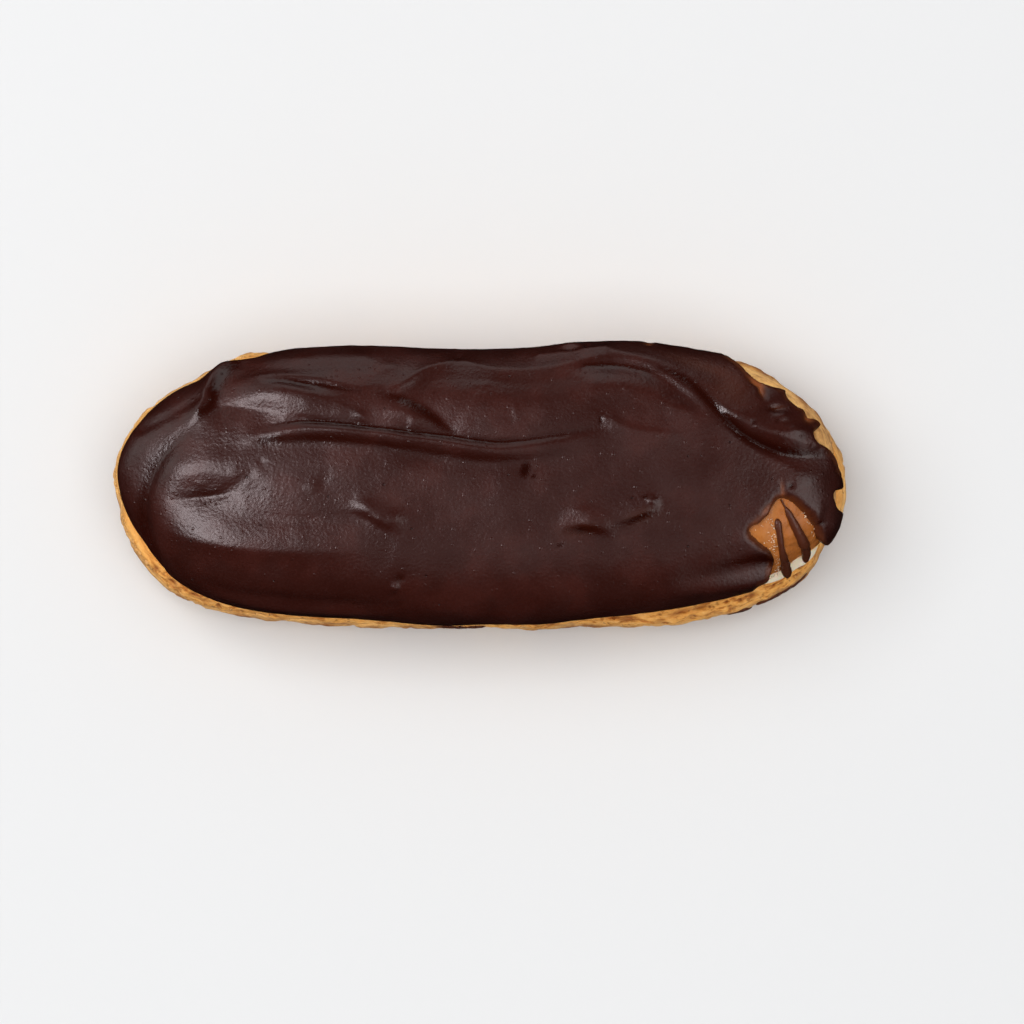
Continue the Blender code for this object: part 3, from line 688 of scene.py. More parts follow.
def near_line(places, line):
    """For each place: its distance from the line, signed (left is above 0), and its share along."""
    starts, ends = line[:-1], line[1:]
    along = ends - starts
    lengths = np.hypot(along[:, 0], along[:, 1])
    walked = walked_by(lengths)
    best = np.full(len(places), np.inf)
    signed = np.zeros(len(places))
    share = np.zeros(len(places))
    for k in range(len(starts)):
        away = places - starts[k]
        t = np.clip(away @ along[k] / lengths[k] ** 2, 0.0, 1.0)
        rest = away - t[:, None] * along[k]
        distance = np.hypot(rest[:, 0], rest[:, 1])
        side = along[k][0] * away[:, 1] - along[k][1] * away[:, 0]
        closer = distance < best
        best[closer] = distance[closer]
        signed[closer] = (np.sign(side) * distance)[closer]
        share[closer] = ((walked[k] + t * lengths[k]) / walked[-1])[closer]
    return signed, share


def along_share(values, share):
    """A few values spread evenly from start to end, read at shares of the way."""
    return np.interp(share, np.linspace(0.0, 1.0, len(values)), values)


def stroke_relief(places, stroke):
    line = smooth_line(stroke.line, pieces=9)
    reach = 3.0 * max(stroke.left + stroke.right)
    near = np.all((places > line.min(0) - reach) & (places < line.max(0) + reach), axis=1)
    relief = np.zeros(len(places))
    signed, share = near_line(places[near], line)
    reaches = np.where(signed > 0, along_share(stroke.left, share), along_share(stroke.right, share))
    profile = np.exp(-np.abs(signed / reaches) ** stroke.sharpness)
    relief[near] = along_share(stroke.height, share) * profile
    return relief


def dab_relief(places, dab):
    turn = math.radians(dab.turn)
    x, y = places[:, 0] - dab.x, places[:, 1] - dab.y
    along = (x * math.cos(turn) + y * math.sin(turn)) / dab.long
    across = (y * math.cos(turn) - x * math.sin(turn)) / dab.short
    return dab.height * np.exp(-(along**2) - across**2)


def strongest(reliefs):
    """The largest of several reliefs at each place."""
    return np.max(list(reliefs), axis=0)


def inside_outline(places, line):
    """Which places lie inside a closed line."""
    inside = np.zeros(len(places), bool)
    x, y = places[:, 0], places[:, 1]
    for (ax, ay), (bx, by) in zip(line[:-1], line[1:]):
        if ay == by:
            continue
        crosses = (ay > y) != (by > y)
        inside ^= crosses & (x < ax + (y - ay) * (bx - ax) / (by - ay))
    return inside


def outside_region(places, corners):
    """How far each place lies outside a smooth closed line, less than 0 inside it."""
    line = smooth_line(corners, 6, closed=True)
    line = np.vstack((line, line[:1]))
    reach = 6.0
    near = np.all((places > line.min(0) - reach) & (places < line.max(0) + reach), axis=1)
    away = np.full(len(places), reach)
    signed, _share = near_line(places[near], line)
    away[near] = np.abs(signed) * np.where(inside_outline(places[near], line), -1.0, 1.0)
    return away


def soft_minimum(first, second, blend):
    gap = np.clip((blend - np.abs(first - second)) / blend, 0.0, 1.0)
    return np.minimum(first, second) - gap * gap * blend / 4


def fractal(points, size, octaves=3):
    """Smooth noise from about -1 to 1 with features of a size in millimetres."""
    scaled = points / size
    return np.array([noise.fractal(Vector(p), 0.8, 2.0, octaves) for p in scaled])


def cells(points, size, stretch=(1.0, 1.0, 1.0)):
    """Distances to the nearest and second nearest of scattered points, in cells."""
    scaled = points / (size * np.array(stretch))
    found = np.array([noise.voronoi(Vector(p))[0][:2] for p in scaled])
    return found[:, 0], found[:, 1]


# ---------------------------------------------------------------------------------------------
# Mesh helpers


def grid(columns, rows):
    """A flat bmesh grid whose points run from 0 to 1 in x and y."""
    bm = bmesh.new()
    bmesh.ops.create_grid(bm, x_segments=columns, y_segments=rows, size=0.5)
    bmesh.ops.translate(bm, vec=(0.5, 0.5, 0.0), verts=bm.verts)
    return bm


def vertex_points(bm):
    return np.array([vert.co for vert in bm.verts])


def place_vertices(bm, points):
    for vert, point in zip(bm.verts, points * MM):
        vert.co = point


def seam_vertices(bm):
    """The vertices on the two sides of a flat grid that meet once it is wrapped round."""
    return [vert for vert in bm.verts if vert.co.x < GRID_SIDE or vert.co.x > 1 - GRID_SIDE]


def object_from(bm, name):
    """The finished bmesh as an object of its own at the origin, shaded smooth."""
    mesh = bpy.data.meshes.new(name)
    bm.to_mesh(mesh)
    bm.free()
    mesh.shade_smooth()
    made = bpy.data.objects.new(name, mesh)
    bpy.context.scene.collection.objects.link(made)
    return made


def join_into(bm, part):
    """Adds one bmesh to another, and frees it."""
    mesh = bpy.data.meshes.new("part")
    part.to_mesh(mesh)
    part.free()
    bm.from_mesh(mesh)
    bpy.data.meshes.remove(mesh)


def mesh_points(mesh):
    flat = np.empty(len(mesh.vertices) * 3)
    mesh.vertices.foreach_get("co", flat)
    return flat.reshape(-1, 3) / MM


def mesh_normals(mesh):
    flat = np.empty(len(mesh.vertices) * 3, np.float32)
    mesh.vertex_normals.foreach_get("vector", flat)
    return flat.reshape(-1, 3).astype(float)


def wrap_points(mesh):
    """The "wrap" places of a skin's vertices, in millimetres."""
    flat = np.empty(len(mesh.vertices) * 3, np.float32)
    mesh.attributes["wrap"].data.foreach_get("vector", flat)
    return flat.reshape(-1, 3).astype(float) / MM


def set_mesh_points(mesh, points):
    mesh.vertices.foreach_set("co", (points * MM).ravel())
    mesh.update()


def store(mesh, **shares):
    """Keeps numbers at each vertex, by name, for the material to read."""
    for name, values in shares.items():
        attribute = mesh.attributes.new(name, "FLOAT", "POINT")
        every = np.broadcast_to(np.float32(values), len(mesh.vertices))
        attribute.data.foreach_set("value", np.ascontiguousarray(every))


def wrapped_skin(outline, section, faces, fine=(0.0, 0.0)):
    """A closed skin that runs round an outline and along a section, its two ends filled.

    It has some faces round and along it, in rows that lie closer between two fine heights. "wrap"
    keeps each vertex's place round the outline, as a place on a circle, and its distance along the
    section, so that a pattern can run with the rim.
    """
    bm = grid(*faces)
    places = vertex_points(bm)
    run, rise = even_outline(outline, places[:, 0])
    walked = section.crowded(places[:, 1], *fine)
    inset, height = section.at(walked)
    x, y = plan_points(outline, run, rise, inset)
    turn = places[:, 0] * math.tau
    circle = 0.6 * (outline.half_length + outline.half_width)
    wrap = bm.verts.layers.float_vector.new("wrap")
    wrapped = np.column_stack((circle * np.cos(turn), circle * np.sin(turn), walked))
    for vert, at in zip(bm.verts, wrapped * MM):
        vert[wrap] = at
    seam = seam_vertices(bm)
    place_vertices(bm, raised(x, y, height))
    bmesh.ops.remove_doubles(bm, verts=seam, dist=0.01 * MM)
    rims = [edge for edge in bm.edges if edge.is_boundary]
    filled = bmesh.ops.holes_fill(bm, edges=rims, sides=0)["faces"]
    bmesh.ops.triangulate(bm, faces=filled)
    bmesh.ops.recalc_face_normals(bm, faces=bm.faces)
    return bm


def finish_piece(made, node, slot, *materials):
    """Gives a piece its materials, hangs it under the root body, and hides the imported part of the node it
    stands in for.
    """
    for finish in materials:
        made.data.materials.append(finish)
    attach(made, "root")
    if node:
        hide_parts(node)
    return made


# ---------------------------------------------------------------------------------------------
# Settings


def colour_property(name, description, default):
    return FloatVectorProperty(
        name=name, description=description, subtype="COLOR", size=3, min=0, max=1, default=default
    )


def size_property(name, description, default_mm):
    return FloatProperty(
        name=name, description=description, default=default_mm * MM, min=0, unit="LENGTH",
        subtype="DISTANCE",
    )  # fmt: skip


def power_property(name, description, default):
    return FloatProperty(name=name, description=description, default=default, min=0, unit="POWER")


class EclairChoux(PropertyGroup):
    blister: size_property("Blisters", "How far the crust's blisters stand out", 0.35)
    lump: size_property("Lumps", "How far the bun is out of true", 0.45)
    crack: size_property("Cracks", "Depth of the cracks round the sides", 0.5)
    pore: size_property("Pores", "Depth of the open pores along the cut", 0.8)
    # The pale, brown and toasted colours also paint light and shade on the cut edge: pale highlight on its
    # fibres' tips, toasted shade in their hollows, brown shade in its pores.
    pale: colour_property("Pale crust", "Colour where the bun baked least", (0.96, 0.53, 0.165))
    brown: colour_property("Brown crust", "Colour where the bun baked most", (0.30, 0.09, 0.015))
    crumb: colour_property("Crumb", "Colour of the cut edge", (0.86, 0.41, 0.09))
    toasted: colour_property("Toasted crumb", "Colour of the hollows in the cut edge", (0.52, 0.17, 0.022))
    glaze: colour_property("Glazed crust", "Colour of the bare patch", (0.37, 0.112, 0.019))


class EclairCream(PropertyGroup):
    ruffle: size_property("Ruffles", "How far the cream's folds stand out", 0.5)
    colour: colour_property("Cream", "Colour of the whipped cream", (0.96, 0.84, 0.63))


class EclairIcing(PropertyGroup):
    thickness: size_property("Thickness", "How thick the icing lies on the lid", 1.9)
    lip: size_property("Lip", "How far in from its edge the icing rounds over", 1.5)
    wander: size_property("Wander", "How unevenly the icing's edge runs", 0.35)
    pitch: size_property("Pitch", "Spacing of the coarse mesh, halved on the upper side", 0.74)
    # A share of this colour is also painted as shade into the pinholes and the deep holes and creases.
    dark: colour_property("Chocolate", "Colour of the icing where it is thick", (0.035, 0.0047, 0.0021))
    thin: colour_property("Thin icing", "Colour where the crust glows through", (0.22, 0.055, 0.012))
    roughness: FloatProperty(name="Roughness", description="Gloss of the icing", default=0.355, min=0, max=1)


class EclairCrumbs(PropertyGroup):
    size: size_property("Size", "Size of the largest crumbs", 0.7)
    crumb: colour_property("Crumbs", "Colour of the toasted crumbs", (0.72, 0.36, 0.10))
    # The grains' pale colour also stands as painted glints on the bare patch.
    sugar: colour_property("Grains", "Colour of the sugary grains", (0.90, 0.62, 0.42))
    seed: IntProperty(name="Seed", description="Changes how the crumbs lie", default=4, min=0)


class EclairStudio(PropertyGroup):
    floor: colour_property("Floor", "Colour of the floor", (0.70, 0.70, 0.7025))
    key: power_property("Key light", "Power of the soft box", 9.0)
    sheen: power_property("Sheen", "Power of the card that only gloss shows", 12.5)
    ceiling: power_property("Ceiling", "Power of the fill from above", 21.0)
    sky: FloatProperty(name="Sky", description="Strength of the light from all round", default=0.44, min=0)
    camera_height: size_property("Camera height", "Height of the camera above the floor", 2500.0)
    view_width: size_property("View width", "Width that the camera takes in at the bun", 195.8)


class EclairSettings(PropertyGroup):
    choux: PointerProperty(type=EclairChoux, name="Choux", description="The bun")
    cream: PointerProperty(type=EclairCream, name="Cream", description="The filling")
    icing: PointerProperty(type=EclairIcing, name="Icing", description="The chocolate")
    crumbs: PointerProperty(type=EclairCrumbs, name="Crumbs", description="Crumbs and grains")
    studio: PointerProperty(type=EclairStudio, name="Studio", description="Floor, light and camera")


# ---------------------------------------------------------------------------------------------
# Materials


class Nodes:
    """Adds nodes to a tree and links them, so that a material reads as a list of steps."""

    def __init__(self, tree):
        self.tree = tree

    def add(self, kind, settings=None, **inputs):
        made = self.tree.nodes.new(kind)
        for key, value in (settings or {}).items():
            setattr(made, key, value)
        for key, value in inputs.items():
            self.join(value, made.inputs[key.replace("_", " ")])
        return made

    def join(self, value, socket):
        if isinstance(value, bpy.types.NodeSocket):
            self.tree.links.new(value, socket)
        else:
            socket.default_value = value

    def maths(self, operation, first, second):
        made = self.tree.nodes.new("ShaderNodeMath")
        made.operation = operation
        self.join(first, made.inputs[0])
        self.join(second, made.inputs[1])
        return made.outputs[0]

    def mix(self, share, first, second):
        """A colour between two, by share."""
        made = self.tree.nodes.new("ShaderNodeMix")
        made.data_type = "RGBA"
        self.join(share, made.inputs["Factor"])
        self.join(first, made.inputs[6])
        self.join(second, made.inputs[7])
        return made.outputs[2]

    def spread(self, value, low, high, to_low=0.0, to_high=1.0):
        """A value moved smoothly from one range to another and kept inside it."""
        made = self.tree.nodes.new("ShaderNodeMapRange")
        made.interpolation_type = "SMOOTHSTEP"
        numbers = (value, low, high, to_low, to_high)
        for socket, number in zip(made.inputs, numbers):
            self.join(number, socket)
        return made.outputs[0]

    def place(self):
        return self.tree.nodes.new("ShaderNodeTexCoord").outputs["Object"]

    def mottle(self, place, size_mm, detail=3.0, roughness=0.55):
        made = self.add("ShaderNodeTexNoise", Vector=place, Detail=detail, Roughness=roughness)
        made.inputs["Scale"].default_value = 1.0 / (size_mm * MM)
        return made.outputs["Fac"]


def opaque(colour):
    return (*colour, 1.0)


def new_group(name, inputs, outputs):
    """A node group with sockets of (name, kind, default), and its input and output nodes."""
    tree = bpy.data.node_groups.new(name, "ShaderNodeTree")
    for label, kind, default in inputs:
        made = tree.interface.new_socket(label, in_out="INPUT", socket_type=kind)
        if default is not None:
            made.default_value = default
    for label, kind in outputs:
        tree.interface.new_socket(label, in_out="OUTPUT", socket_type=kind)
    return Nodes(tree), tree.nodes.new("NodeGroupInput"), tree.nodes.new("NodeGroupOutput")


def pits_group():
    """Scattered round pits: a mask that is 1 in a pit, for pinholes and open pores."""
    name = "Pits"
    if name in bpy.data.node_groups:
        return bpy.data.node_groups[name]
    inputs = (
        ("Vector", "NodeSocketVector", None),
        ("Scale", "NodeSocketFloat", 800.0),
        ("Share", "NodeSocketFloat", 0.3),
        ("Radius", "NodeSocketFloat", 0.3),
    )
    nodes, given, result = new_group(name, inputs, (("Mask", "NodeSocketFloat"),))
    scattered = nodes.add(
        "ShaderNodeTexVoronoi", Vector=given.outputs["Vector"], Scale=given.outputs["Scale"]
    )
    near = nodes.maths("DIVIDE", scattered.outputs["Distance"], given.outputs["Radius"])
    depth = nodes.spread(near, 0.4, 1.0, 1.0, 0.0)
    parts = nodes.tree.nodes.new("ShaderNodeSeparateColor")
    nodes.join(scattered.outputs["Color"], parts.inputs[0])
    chosen = nodes.maths("LESS_THAN", parts.outputs[0], given.outputs["Share"])
    nodes.join(nodes.maths("MULTIPLY", depth, chosen), result.inputs["Mask"])
    return nodes.tree


def grain_group():
    """Uneven grain at two sizes: a value from 0 to 1 for colour, roughness and height."""
    name = "Grain"
    if name in bpy.data.node_groups:
        return bpy.data.node_groups[name]
    inputs = (
        ("Vector", "NodeSocketVector", None),
        ("Coarse Scale", "NodeSocketFloat", 150.0),
        ("Fine Scale", "NodeSocketFloat", 1500.0),
        ("Fine Share", "NodeSocketFloat", 0.4),
    )
    nodes, given, result = new_group(name, inputs, (("Value", "NodeSocketFloat"),))
    layers = [
        nodes.add(
            "ShaderNodeTexNoise", Vector=given.outputs["Vector"], Scale=given.outputs[scale], Detail=4.0
        ).outputs["Fac"]
        for scale in ("Coarse Scale", "Fine Scale")
    ]
    made = nodes.tree.nodes.new("ShaderNodeMix")
    nodes.join(given.outputs["Fine Share"], made.inputs["Factor"])
    nodes.join(layers[0], made.inputs[2])
    nodes.join(layers[1], made.inputs[3])
    nodes.join(nodes.spread(made.outputs[0], 0.25, 0.75), result.inputs["Value"])
    return nodes.tree


def place_group(nodes, tree, **inputs):
    made = nodes.tree.nodes.new("ShaderNodeGroup")
    made.node_tree = tree
    for key, value in inputs.items():
        nodes.join(value, made.inputs[key.replace("_", " ")])
    return made.outputs[0]


def new_material(name):
    """A material and its node helper, with the Principled BSDF's sockets as nodes.shader."""
    made = bpy.data.materials.new(name)
    made.use_nodes = True
    nodes = Nodes(made.node_tree)
    nodes.shader = made.node_tree.nodes["Principled BSDF"].inputs
    return made, nodes


def shaded(colour, share):
    """A colour made darker, to a share of what it was."""
    return opaque(tuple(value * share for value in colour))


def inverse(nodes, mask):
    return nodes.maths("SUBTRACT", 1.0, mask)


def bump(nodes, height, distance_mm, strength=1.0, under=None):
    made = nodes.add("ShaderNodeBump", Height=height, Strength=strength, Distance=distance_mm * MM)
    if under is not None:
        nodes.join(under, made.inputs["Normal"])
    return made.outputs["Normal"]


def stored(nodes, name):
    return nodes.add("ShaderNodeAttribute", {"attribute_name": name}).outputs["Fac"]


def choux_material(settings):
    """Baked crust: golden to brown, torn fibres and pits along the cut with shade painted into their hollows
    and pits and highlight painted on the fibres' tips, a film where it is glazed.
    """
    made, nodes = new_material("choux_crust")
    place = nodes.place()
    grain = place_group(nodes, grain_group(), Vector=place, Coarse_Scale=160.0, Fine_Scale=1100.0)
    baked = nodes.maths("ADD", stored(nodes, "baked"), nodes.maths("MULTIPLY", grain, 0.7))
    baked = nodes.spread(nodes.maths("SUBTRACT", baked, 0.4), 0.0, 1.0)
    crust = nodes.mix(baked, opaque(settings.pale), opaque(settings.brown))

    wrap = nodes.add("ShaderNodeAttribute", {"attribute_name": "wrap"}).outputs["Vector"]
    along_rim = nodes.add("ShaderNodeMapping", Vector=wrap, Scale=(0.22, 0.22, 1.0)).outputs[0]
    fibres = nodes.mottle(along_rim, 0.6, 4.0, 0.65)
    torn = stored(nodes, "torn")
    # Painted shade: the hollows between the cut's fibres are coloured toasted, darker.
    hollows = nodes.maths("MULTIPLY", nodes.spread(fibres, 0.50, 0.36), torn)
    crumb = nodes.mix(hollows, opaque(settings.crumb), opaque(settings.toasted))
    # Painted highlight: the tips of the fibres are coloured pale.
    tips = nodes.spread(fibres, 0.54, 0.66, 0.0, 0.8)
    crumb = nodes.mix(tips, crumb, opaque(settings.pale))
    blotches = nodes.spread(nodes.mottle(along_rim, 1.5, 2.0), 0.58, 0.66, 0.0, 0.8)
    crumb = nodes.mix(nodes.maths("MULTIPLY", blotches, torn), crumb, opaque(settings.toasted))
    # Painted shade: the rim's open pores and pits are coloured brown.
    pits = place_group(nodes, pits_group(), Vector=wrap, Scale=900.0, Share=0.2, Radius=0.4)
    pits = nodes.maths("MULTIPLY", pits, torn)
    pore_shade = nodes.maths("MAXIMUM", stored(nodes, "pore"), nodes.maths("MULTIPLY", pits, 0.6))
    crumb = nodes.mix(pore_shade, crumb, opaque(settings.brown))
    colour = nodes.mix(stored(nodes, "cut"), crust, crumb)

    glazed = stored(nodes, "glazed")
    streaks = nodes.add("ShaderNodeMapping", Vector=place, Scale=(1.0, 0.5, 1.0)).outputs[0]
    streaks = nodes.spread(nodes.mottle(streaks, 0.9, 4.0, 0.6), 0.42, 0.72)
    film = nodes.mix(streaks, opaque(settings.glaze), opaque(settings.brown))
    sugar = nodes.mix(0.10, opaque(settings.glaze), opaque(settings.crumb))
    sugar = nodes.mix(streaks, sugar, opaque(settings.glaze))
    film = nodes.mix(nodes.spread(glazed, 0.6, 1.0), film, sugar)
    colour = nodes.mix(nodes.spread(glazed, 0.1, 0.5), colour, film)
    nodes.join(colour, nodes.shader["Base Color"])
    dull = nodes.spread(grain, 0.0, 1.0, 0.5, 0.72)
    nodes.join(nodes.spread(glazed, 0.0, 0.6, dull, 0.26), nodes.shader["Roughness"])
    relief = bump(nodes, nodes.mottle(place, 0.9, 5.0), 0.22, 0.6)
    relief = bump(nodes, nodes.maths("MULTIPLY", fibres, torn), 0.5, 0.8, relief)
    relief = bump(nodes, inverse(nodes, pits), 0.3, 0.7, relief)
    nodes.join(relief, nodes.shader["Normal"])
    nodes.shader["Specular IOR Level"].default_value = 0.3
    return made


def cream_material(settings):
    """Whipped cream: soft, barely glossy, with fine bubbles."""
    made, nodes = new_material("whipped_cream")
    place = nodes.place()
    grain = place_group(nodes, grain_group(), Vector=place, Coarse_Scale=60.0, Fine_Scale=1400.0)
    colour = nodes.mix(grain, shaded(settings.colour, 0.9), opaque(settings.colour))
    nodes.join(colour, nodes.shader["Base Color"])
    nodes.join(nodes.spread(grain, 0.0, 1.0, 0.38, 0.55), nodes.shader["Roughness"])
    bubbles = place_group(nodes, pits_group(), Vector=place, Scale=1300.0, Share=0.25, Radius=0.35)
    relief = bump(nodes, grain, 0.12, 0.5)
    relief = bump(nodes, inverse(nodes, bubbles), 0.15, 0.5, relief)
    nodes.join(relief, nodes.shader["Normal"])
    nodes.shader["Subsurface Weight"].default_value = 0.25
    nodes.shader["Subsurface Scale"].default_value = 1.5 * MM
    return made


def icing_material(settings):
    """Satin chocolate with pinholes: amber where it is thin; shade painted darker into its pinholes, deep
    holes and creases, which are glossier.
    """
    made, nodes = new_material("chocolate_icing")
    place = nodes.place()
    grain = place_group(nodes, grain_group(), Vector=place, Coarse_Scale=120.0, Fine_Scale=2400.0)
    ruddy = (settings.dark[0] * 1.3, settings.dark[1] * 1.15, settings.dark[2])
    clouds = nodes.spread(nodes.mottle(place, 9.0, 2.0), 0.42, 0.62)
    dark = nodes.mix(clouds, opaque(settings.dark), opaque(ruddy))
    dark = nodes.mix(grain, shaded(settings.dark, 0.72), dark)
    colour = nodes.mix(stored(nodes, "thin"), dark, opaque(settings.thin))
    holes = place_group(nodes, pits_group(), Vector=place, Scale=380.0, Share=0.16, Radius=0.11)
    # Painted shade: the colour is made darker in the pinholes and in the deep holes and creases, which are
    # also made glossier.
    sunk = stored(nodes, "sunk")
    shadowed = nodes.maths("MAXIMUM", nodes.maths("MULTIPLY", holes, 0.7), sunk)
    colour = nodes.mix(shadowed, colour, shaded(settings.dark, 0.4))
    nodes.join(colour, nodes.shader["Base Color"])
    satin = nodes.spread(grain, 0.0, 1.0, settings.roughness - 0.05, settings.roughness + 0.06)
    nodes.join(nodes.spread(sunk, 0.0, 1.0, satin, CREASE_ROUGHNESS), nodes.shader["Roughness"])
    relief = bump(nodes, nodes.mottle(place, 0.6, 3.0, 0.5), 0.11, 0.8)
    specks = place_group(nodes, pits_group(), Vector=place, Scale=950.0, Share=0.16, Radius=0.32)
    relief = bump(nodes, specks, 0.07, 0.8, relief)
    relief = bump(nodes, inverse(nodes, holes), 0.25, 0.8, relief)
    nodes.join(relief, nodes.shader["Normal"])
    return made


def grain_material(colour, name):
    """Small glossy grains, each a little lighter or darker."""
    made, nodes = new_material(name)
    place = nodes.place()
    grain = place_group(nodes, grain_group(), Vector=place, Coarse_Scale=500.0, Fine_Scale=2500.0)
    nodes.join(nodes.mix(grain, shaded(colour, 0.45), opaque(colour)), nodes.shader["Base Color"])
    nodes.join(nodes.spread(grain, 0.0, 1.0, 0.3, 0.6), nodes.shader["Roughness"])
    nodes.join(bump(nodes, nodes.mottle(place, 0.3), 0.1, 0.6), nodes.shader["Normal"])
    return made


def floor_material(colour):
    """Matt pale paper with a faint tooth."""
    made, nodes = new_material("floor")
    scales = {"Coarse_Scale": 3.0, "Fine_Scale": 400.0, "Fine_Share": 0.2}
    grain = place_group(nodes, grain_group(), Vector=nodes.place(), **scales)
    nodes.join(nodes.mix(grain, shaded(colour, 0.985), opaque(colour)), nodes.shader["Base Color"])
    nodes.join(nodes.spread(grain, 0.0, 1.0, 0.85, 0.95), nodes.shader["Roughness"])
    return made


def shared_material(name, build, *details):
    return bpy.data.materials.get(name) or build(*details)


# ---------------------------------------------------------------------------------------------
# The pieces


def crust_relief(points, settings, crack_share):
    """How far the crust stands out from the plain skin, and how brown it has baked there."""
    lumps = fractal(points, LUMP_SIZE, 2)
    first, _second = cells(points, BLISTER_SIZE)
    blisters = smooth_step(0.75, 0.1, first)
    near, far = cells(points, CRACK_SPACING, (2.4, 2.4, 0.8))
    crack = smooth_step(0.16, 0.0, far - near) * crack_share
    fine = fractal(points, FINE_SIZE, 3)
    relief = lumps * settings.lump / MM + blisters * settings.blister / MM
    relief += fine * 0.09 - crack * settings.crack / MM
    baked = np.clip(0.45 + 0.35 * lumps + 0.25 * blisters - 0.5 * crack, 0.0, 1.0)
    return relief, baked


def make_lid(settings):
    section = Section(LID_UNDERSIDE + LID_DOME[:-1])
    made = object_from(wrapped_skin(LID_OUTLINE, section, LID_FACES), "lid_crust")
    points, normals = mesh_points(made.data), mesh_normals(made.data)
    side = smooth_step(LID_BOTTOM, LID_BOTTOM + 3, points[:, 2])
    relief, baked = crust_relief(points, settings, side * 0.5)
    calm = 0.35 + 0.4 * side
    patch = smooth_step(1.5, -0.5, outside_region(points[:, :2], BARE_PATCH))
    patch *= smooth_step(LID_BOTTOM + 1, LID_BOTTOM + 4, points[:, 2])
    wrinkled = fractal(points * (1.0, 0.45, 1.0), 0.9, 3)
    moved = points + normals * (relief * calm + WRINKLE * patch * wrinkled)[:, None]
    moved[:, 2] = drooped(moved[:, 0], moved[:, 2])
    set_mesh_points(made.data, moved)
    cut = 1 - smooth_step(LID_BOTTOM - 0.4, LID_BOTTOM + 1.0, points[:, 2])
    sugary = smooth_step(58.0, 55.5, points[:, 0] + 0.8 * fractal(points + 3.0, 1.6, 2))
    glazed = patch * (0.6 + 0.4 * sugary)
    store(made.data, baked=baked * side, cut=cut, torn=cut, pore=0.0, glazed=glazed)
    crust = shared_material("choux_crust", choux_material, settings)
    return finish_piece(made, "choux_lid", "choux", crust)


def make_base(settings):
    skin = wrapped_skin(BASE_OUTLINE, Section(BASE_SECTION), BASE_FACES, FINE_RIM)
    made = object_from(skin, "base_crust")
    points, normals, wrap = mesh_points(made.data), mesh_normals(made.data), wrap_points(made.data)
    height = points[:, 2]
    side = smooth_step(0.3, 4.0, height)
    rim = smooth_step(12.9, 14.4, height + 0.6 * fractal(points, 3.0, 2))
    relief, baked = crust_relief(points, settings, side * (1 - rim))
    torn = smooth_step(-6.0, -13.0, points[:, 1]) * (1 - lobe_sum((SMOOTH_RIM,), *points[:, :2].T))
    fibres = 1 - 2.4 * np.abs(fractal(wrap * (0.3, 0.3, 1.0), 1.0, 3))
    knobs = fractal(wrap * (0.6, 0.6, 1.0), 1.7, 3)
    coarse, _far = cells(wrap * (0.45, 0.45, 1.0), 1.9)
    fine, _far = cells(wrap * (0.8, 0.8, 1.0) + 40.0, 0.9)
    hole = smooth_step(0.48, 0.2, coarse) * smooth_step(0.0, 0.3, fractal(points, 4.0, 2))
    pinhole = smooth_step(0.34, 0.12, fine) * smooth_step(0.0, 0.25, fractal(points + 9.0, 2.4, 2))
    pits = strongest(dab_relief(points[:, :2], pit) for pit in RIM_PITS)
    # Shade is painted into the rim's colour where pore is high: its holes, pinholes and pits.
    pore = rim * np.maximum(np.maximum(0.7 * hole, pinhole) * torn, np.clip(pits * 1.3, 0.0, 1.0))
    relief = relief * (0.25 + 0.75 * side) * (1 - 0.6 * rim)
    relief += rim * ((0.1 + 0.3 * torn) * knobs + (0.04 + 0.14 * torn) * fibres)
    relief -= rim * ((0.5 * hole + 0.4 * pinhole) * torn + pits) * settings.pore / MM
    moved = points + normals * relief[:, None]
    moved[:, 2] = np.where(side > 0, moved[:, 2], 0.0)
    set_mesh_points(made.data, moved)
    baked = np.clip(baked + 0.5 * (1 - side), 0, 1)
    store(made.data, baked=baked, cut=rim, torn=rim * (0.35 + 0.65 * torn), pore=pore, glazed=0.0)
    crust = shared_material("choux_crust", choux_material, settings)
    return finish_piece(made, "choux_base", "choux", crust)


def make_cream(settings):
    made = object_from(wrapped_skin(BASE_OUTLINE, Section(CREAM_SECTION), CREAM_FACES), "whipped_cream")
    points, normals = mesh_points(made.data), mesh_normals(made.data)
    squeezed = smooth_step(BASE_TOP, BASE_TOP + 1.2, points[:, 2])
    squeezed *= smooth_step(BASE_TOP + 5.4, BASE_TOP + 4.4, points[:, 2])
    bulge = squeezed * lobe_sum(CREAM_BULGES, points[:, 0], points[:, 1])
    outward = normals * (1.0, 1.0, 0.0)
    folds = fractal(points * (1.0, 1.0, 2.2), 7.0, 2) + 0.35 * fractal(points, 2.2, 2)
    folds *= settings.ruffle / MM * smooth_step(HOLLOW_FLOOR, BASE_TOP + 1, points[:, 2])
    set_mesh_points(made.data, points + outward * bulge[:, None] + normals * folds[:, None])
    cream = shared_material("whipped_cream", cream_material, settings)
    return finish_piece(made, "cream_filling", "cream", cream)


def inset_reached(sizes, half_x, half_y, lowest):
    """How far inside an oblong as square as the lid's each place lies, found by halving."""
    low, high = np.full(len(sizes), lowest), np.full(len(sizes), half_y - 1e-4)
    for _ in range(HALVINGS):
        middle = (low + high) / 2
        reach = (sizes[:, 0] / (half_x - middle)) ** LID_OUTLINE.squareness
        reach += (sizes[:, 1] / (half_y - middle)) ** LID_OUTLINE.squareness
        low, high = np.where(reach < 1, middle, low), np.where(reach < 1, high, middle)
    return low


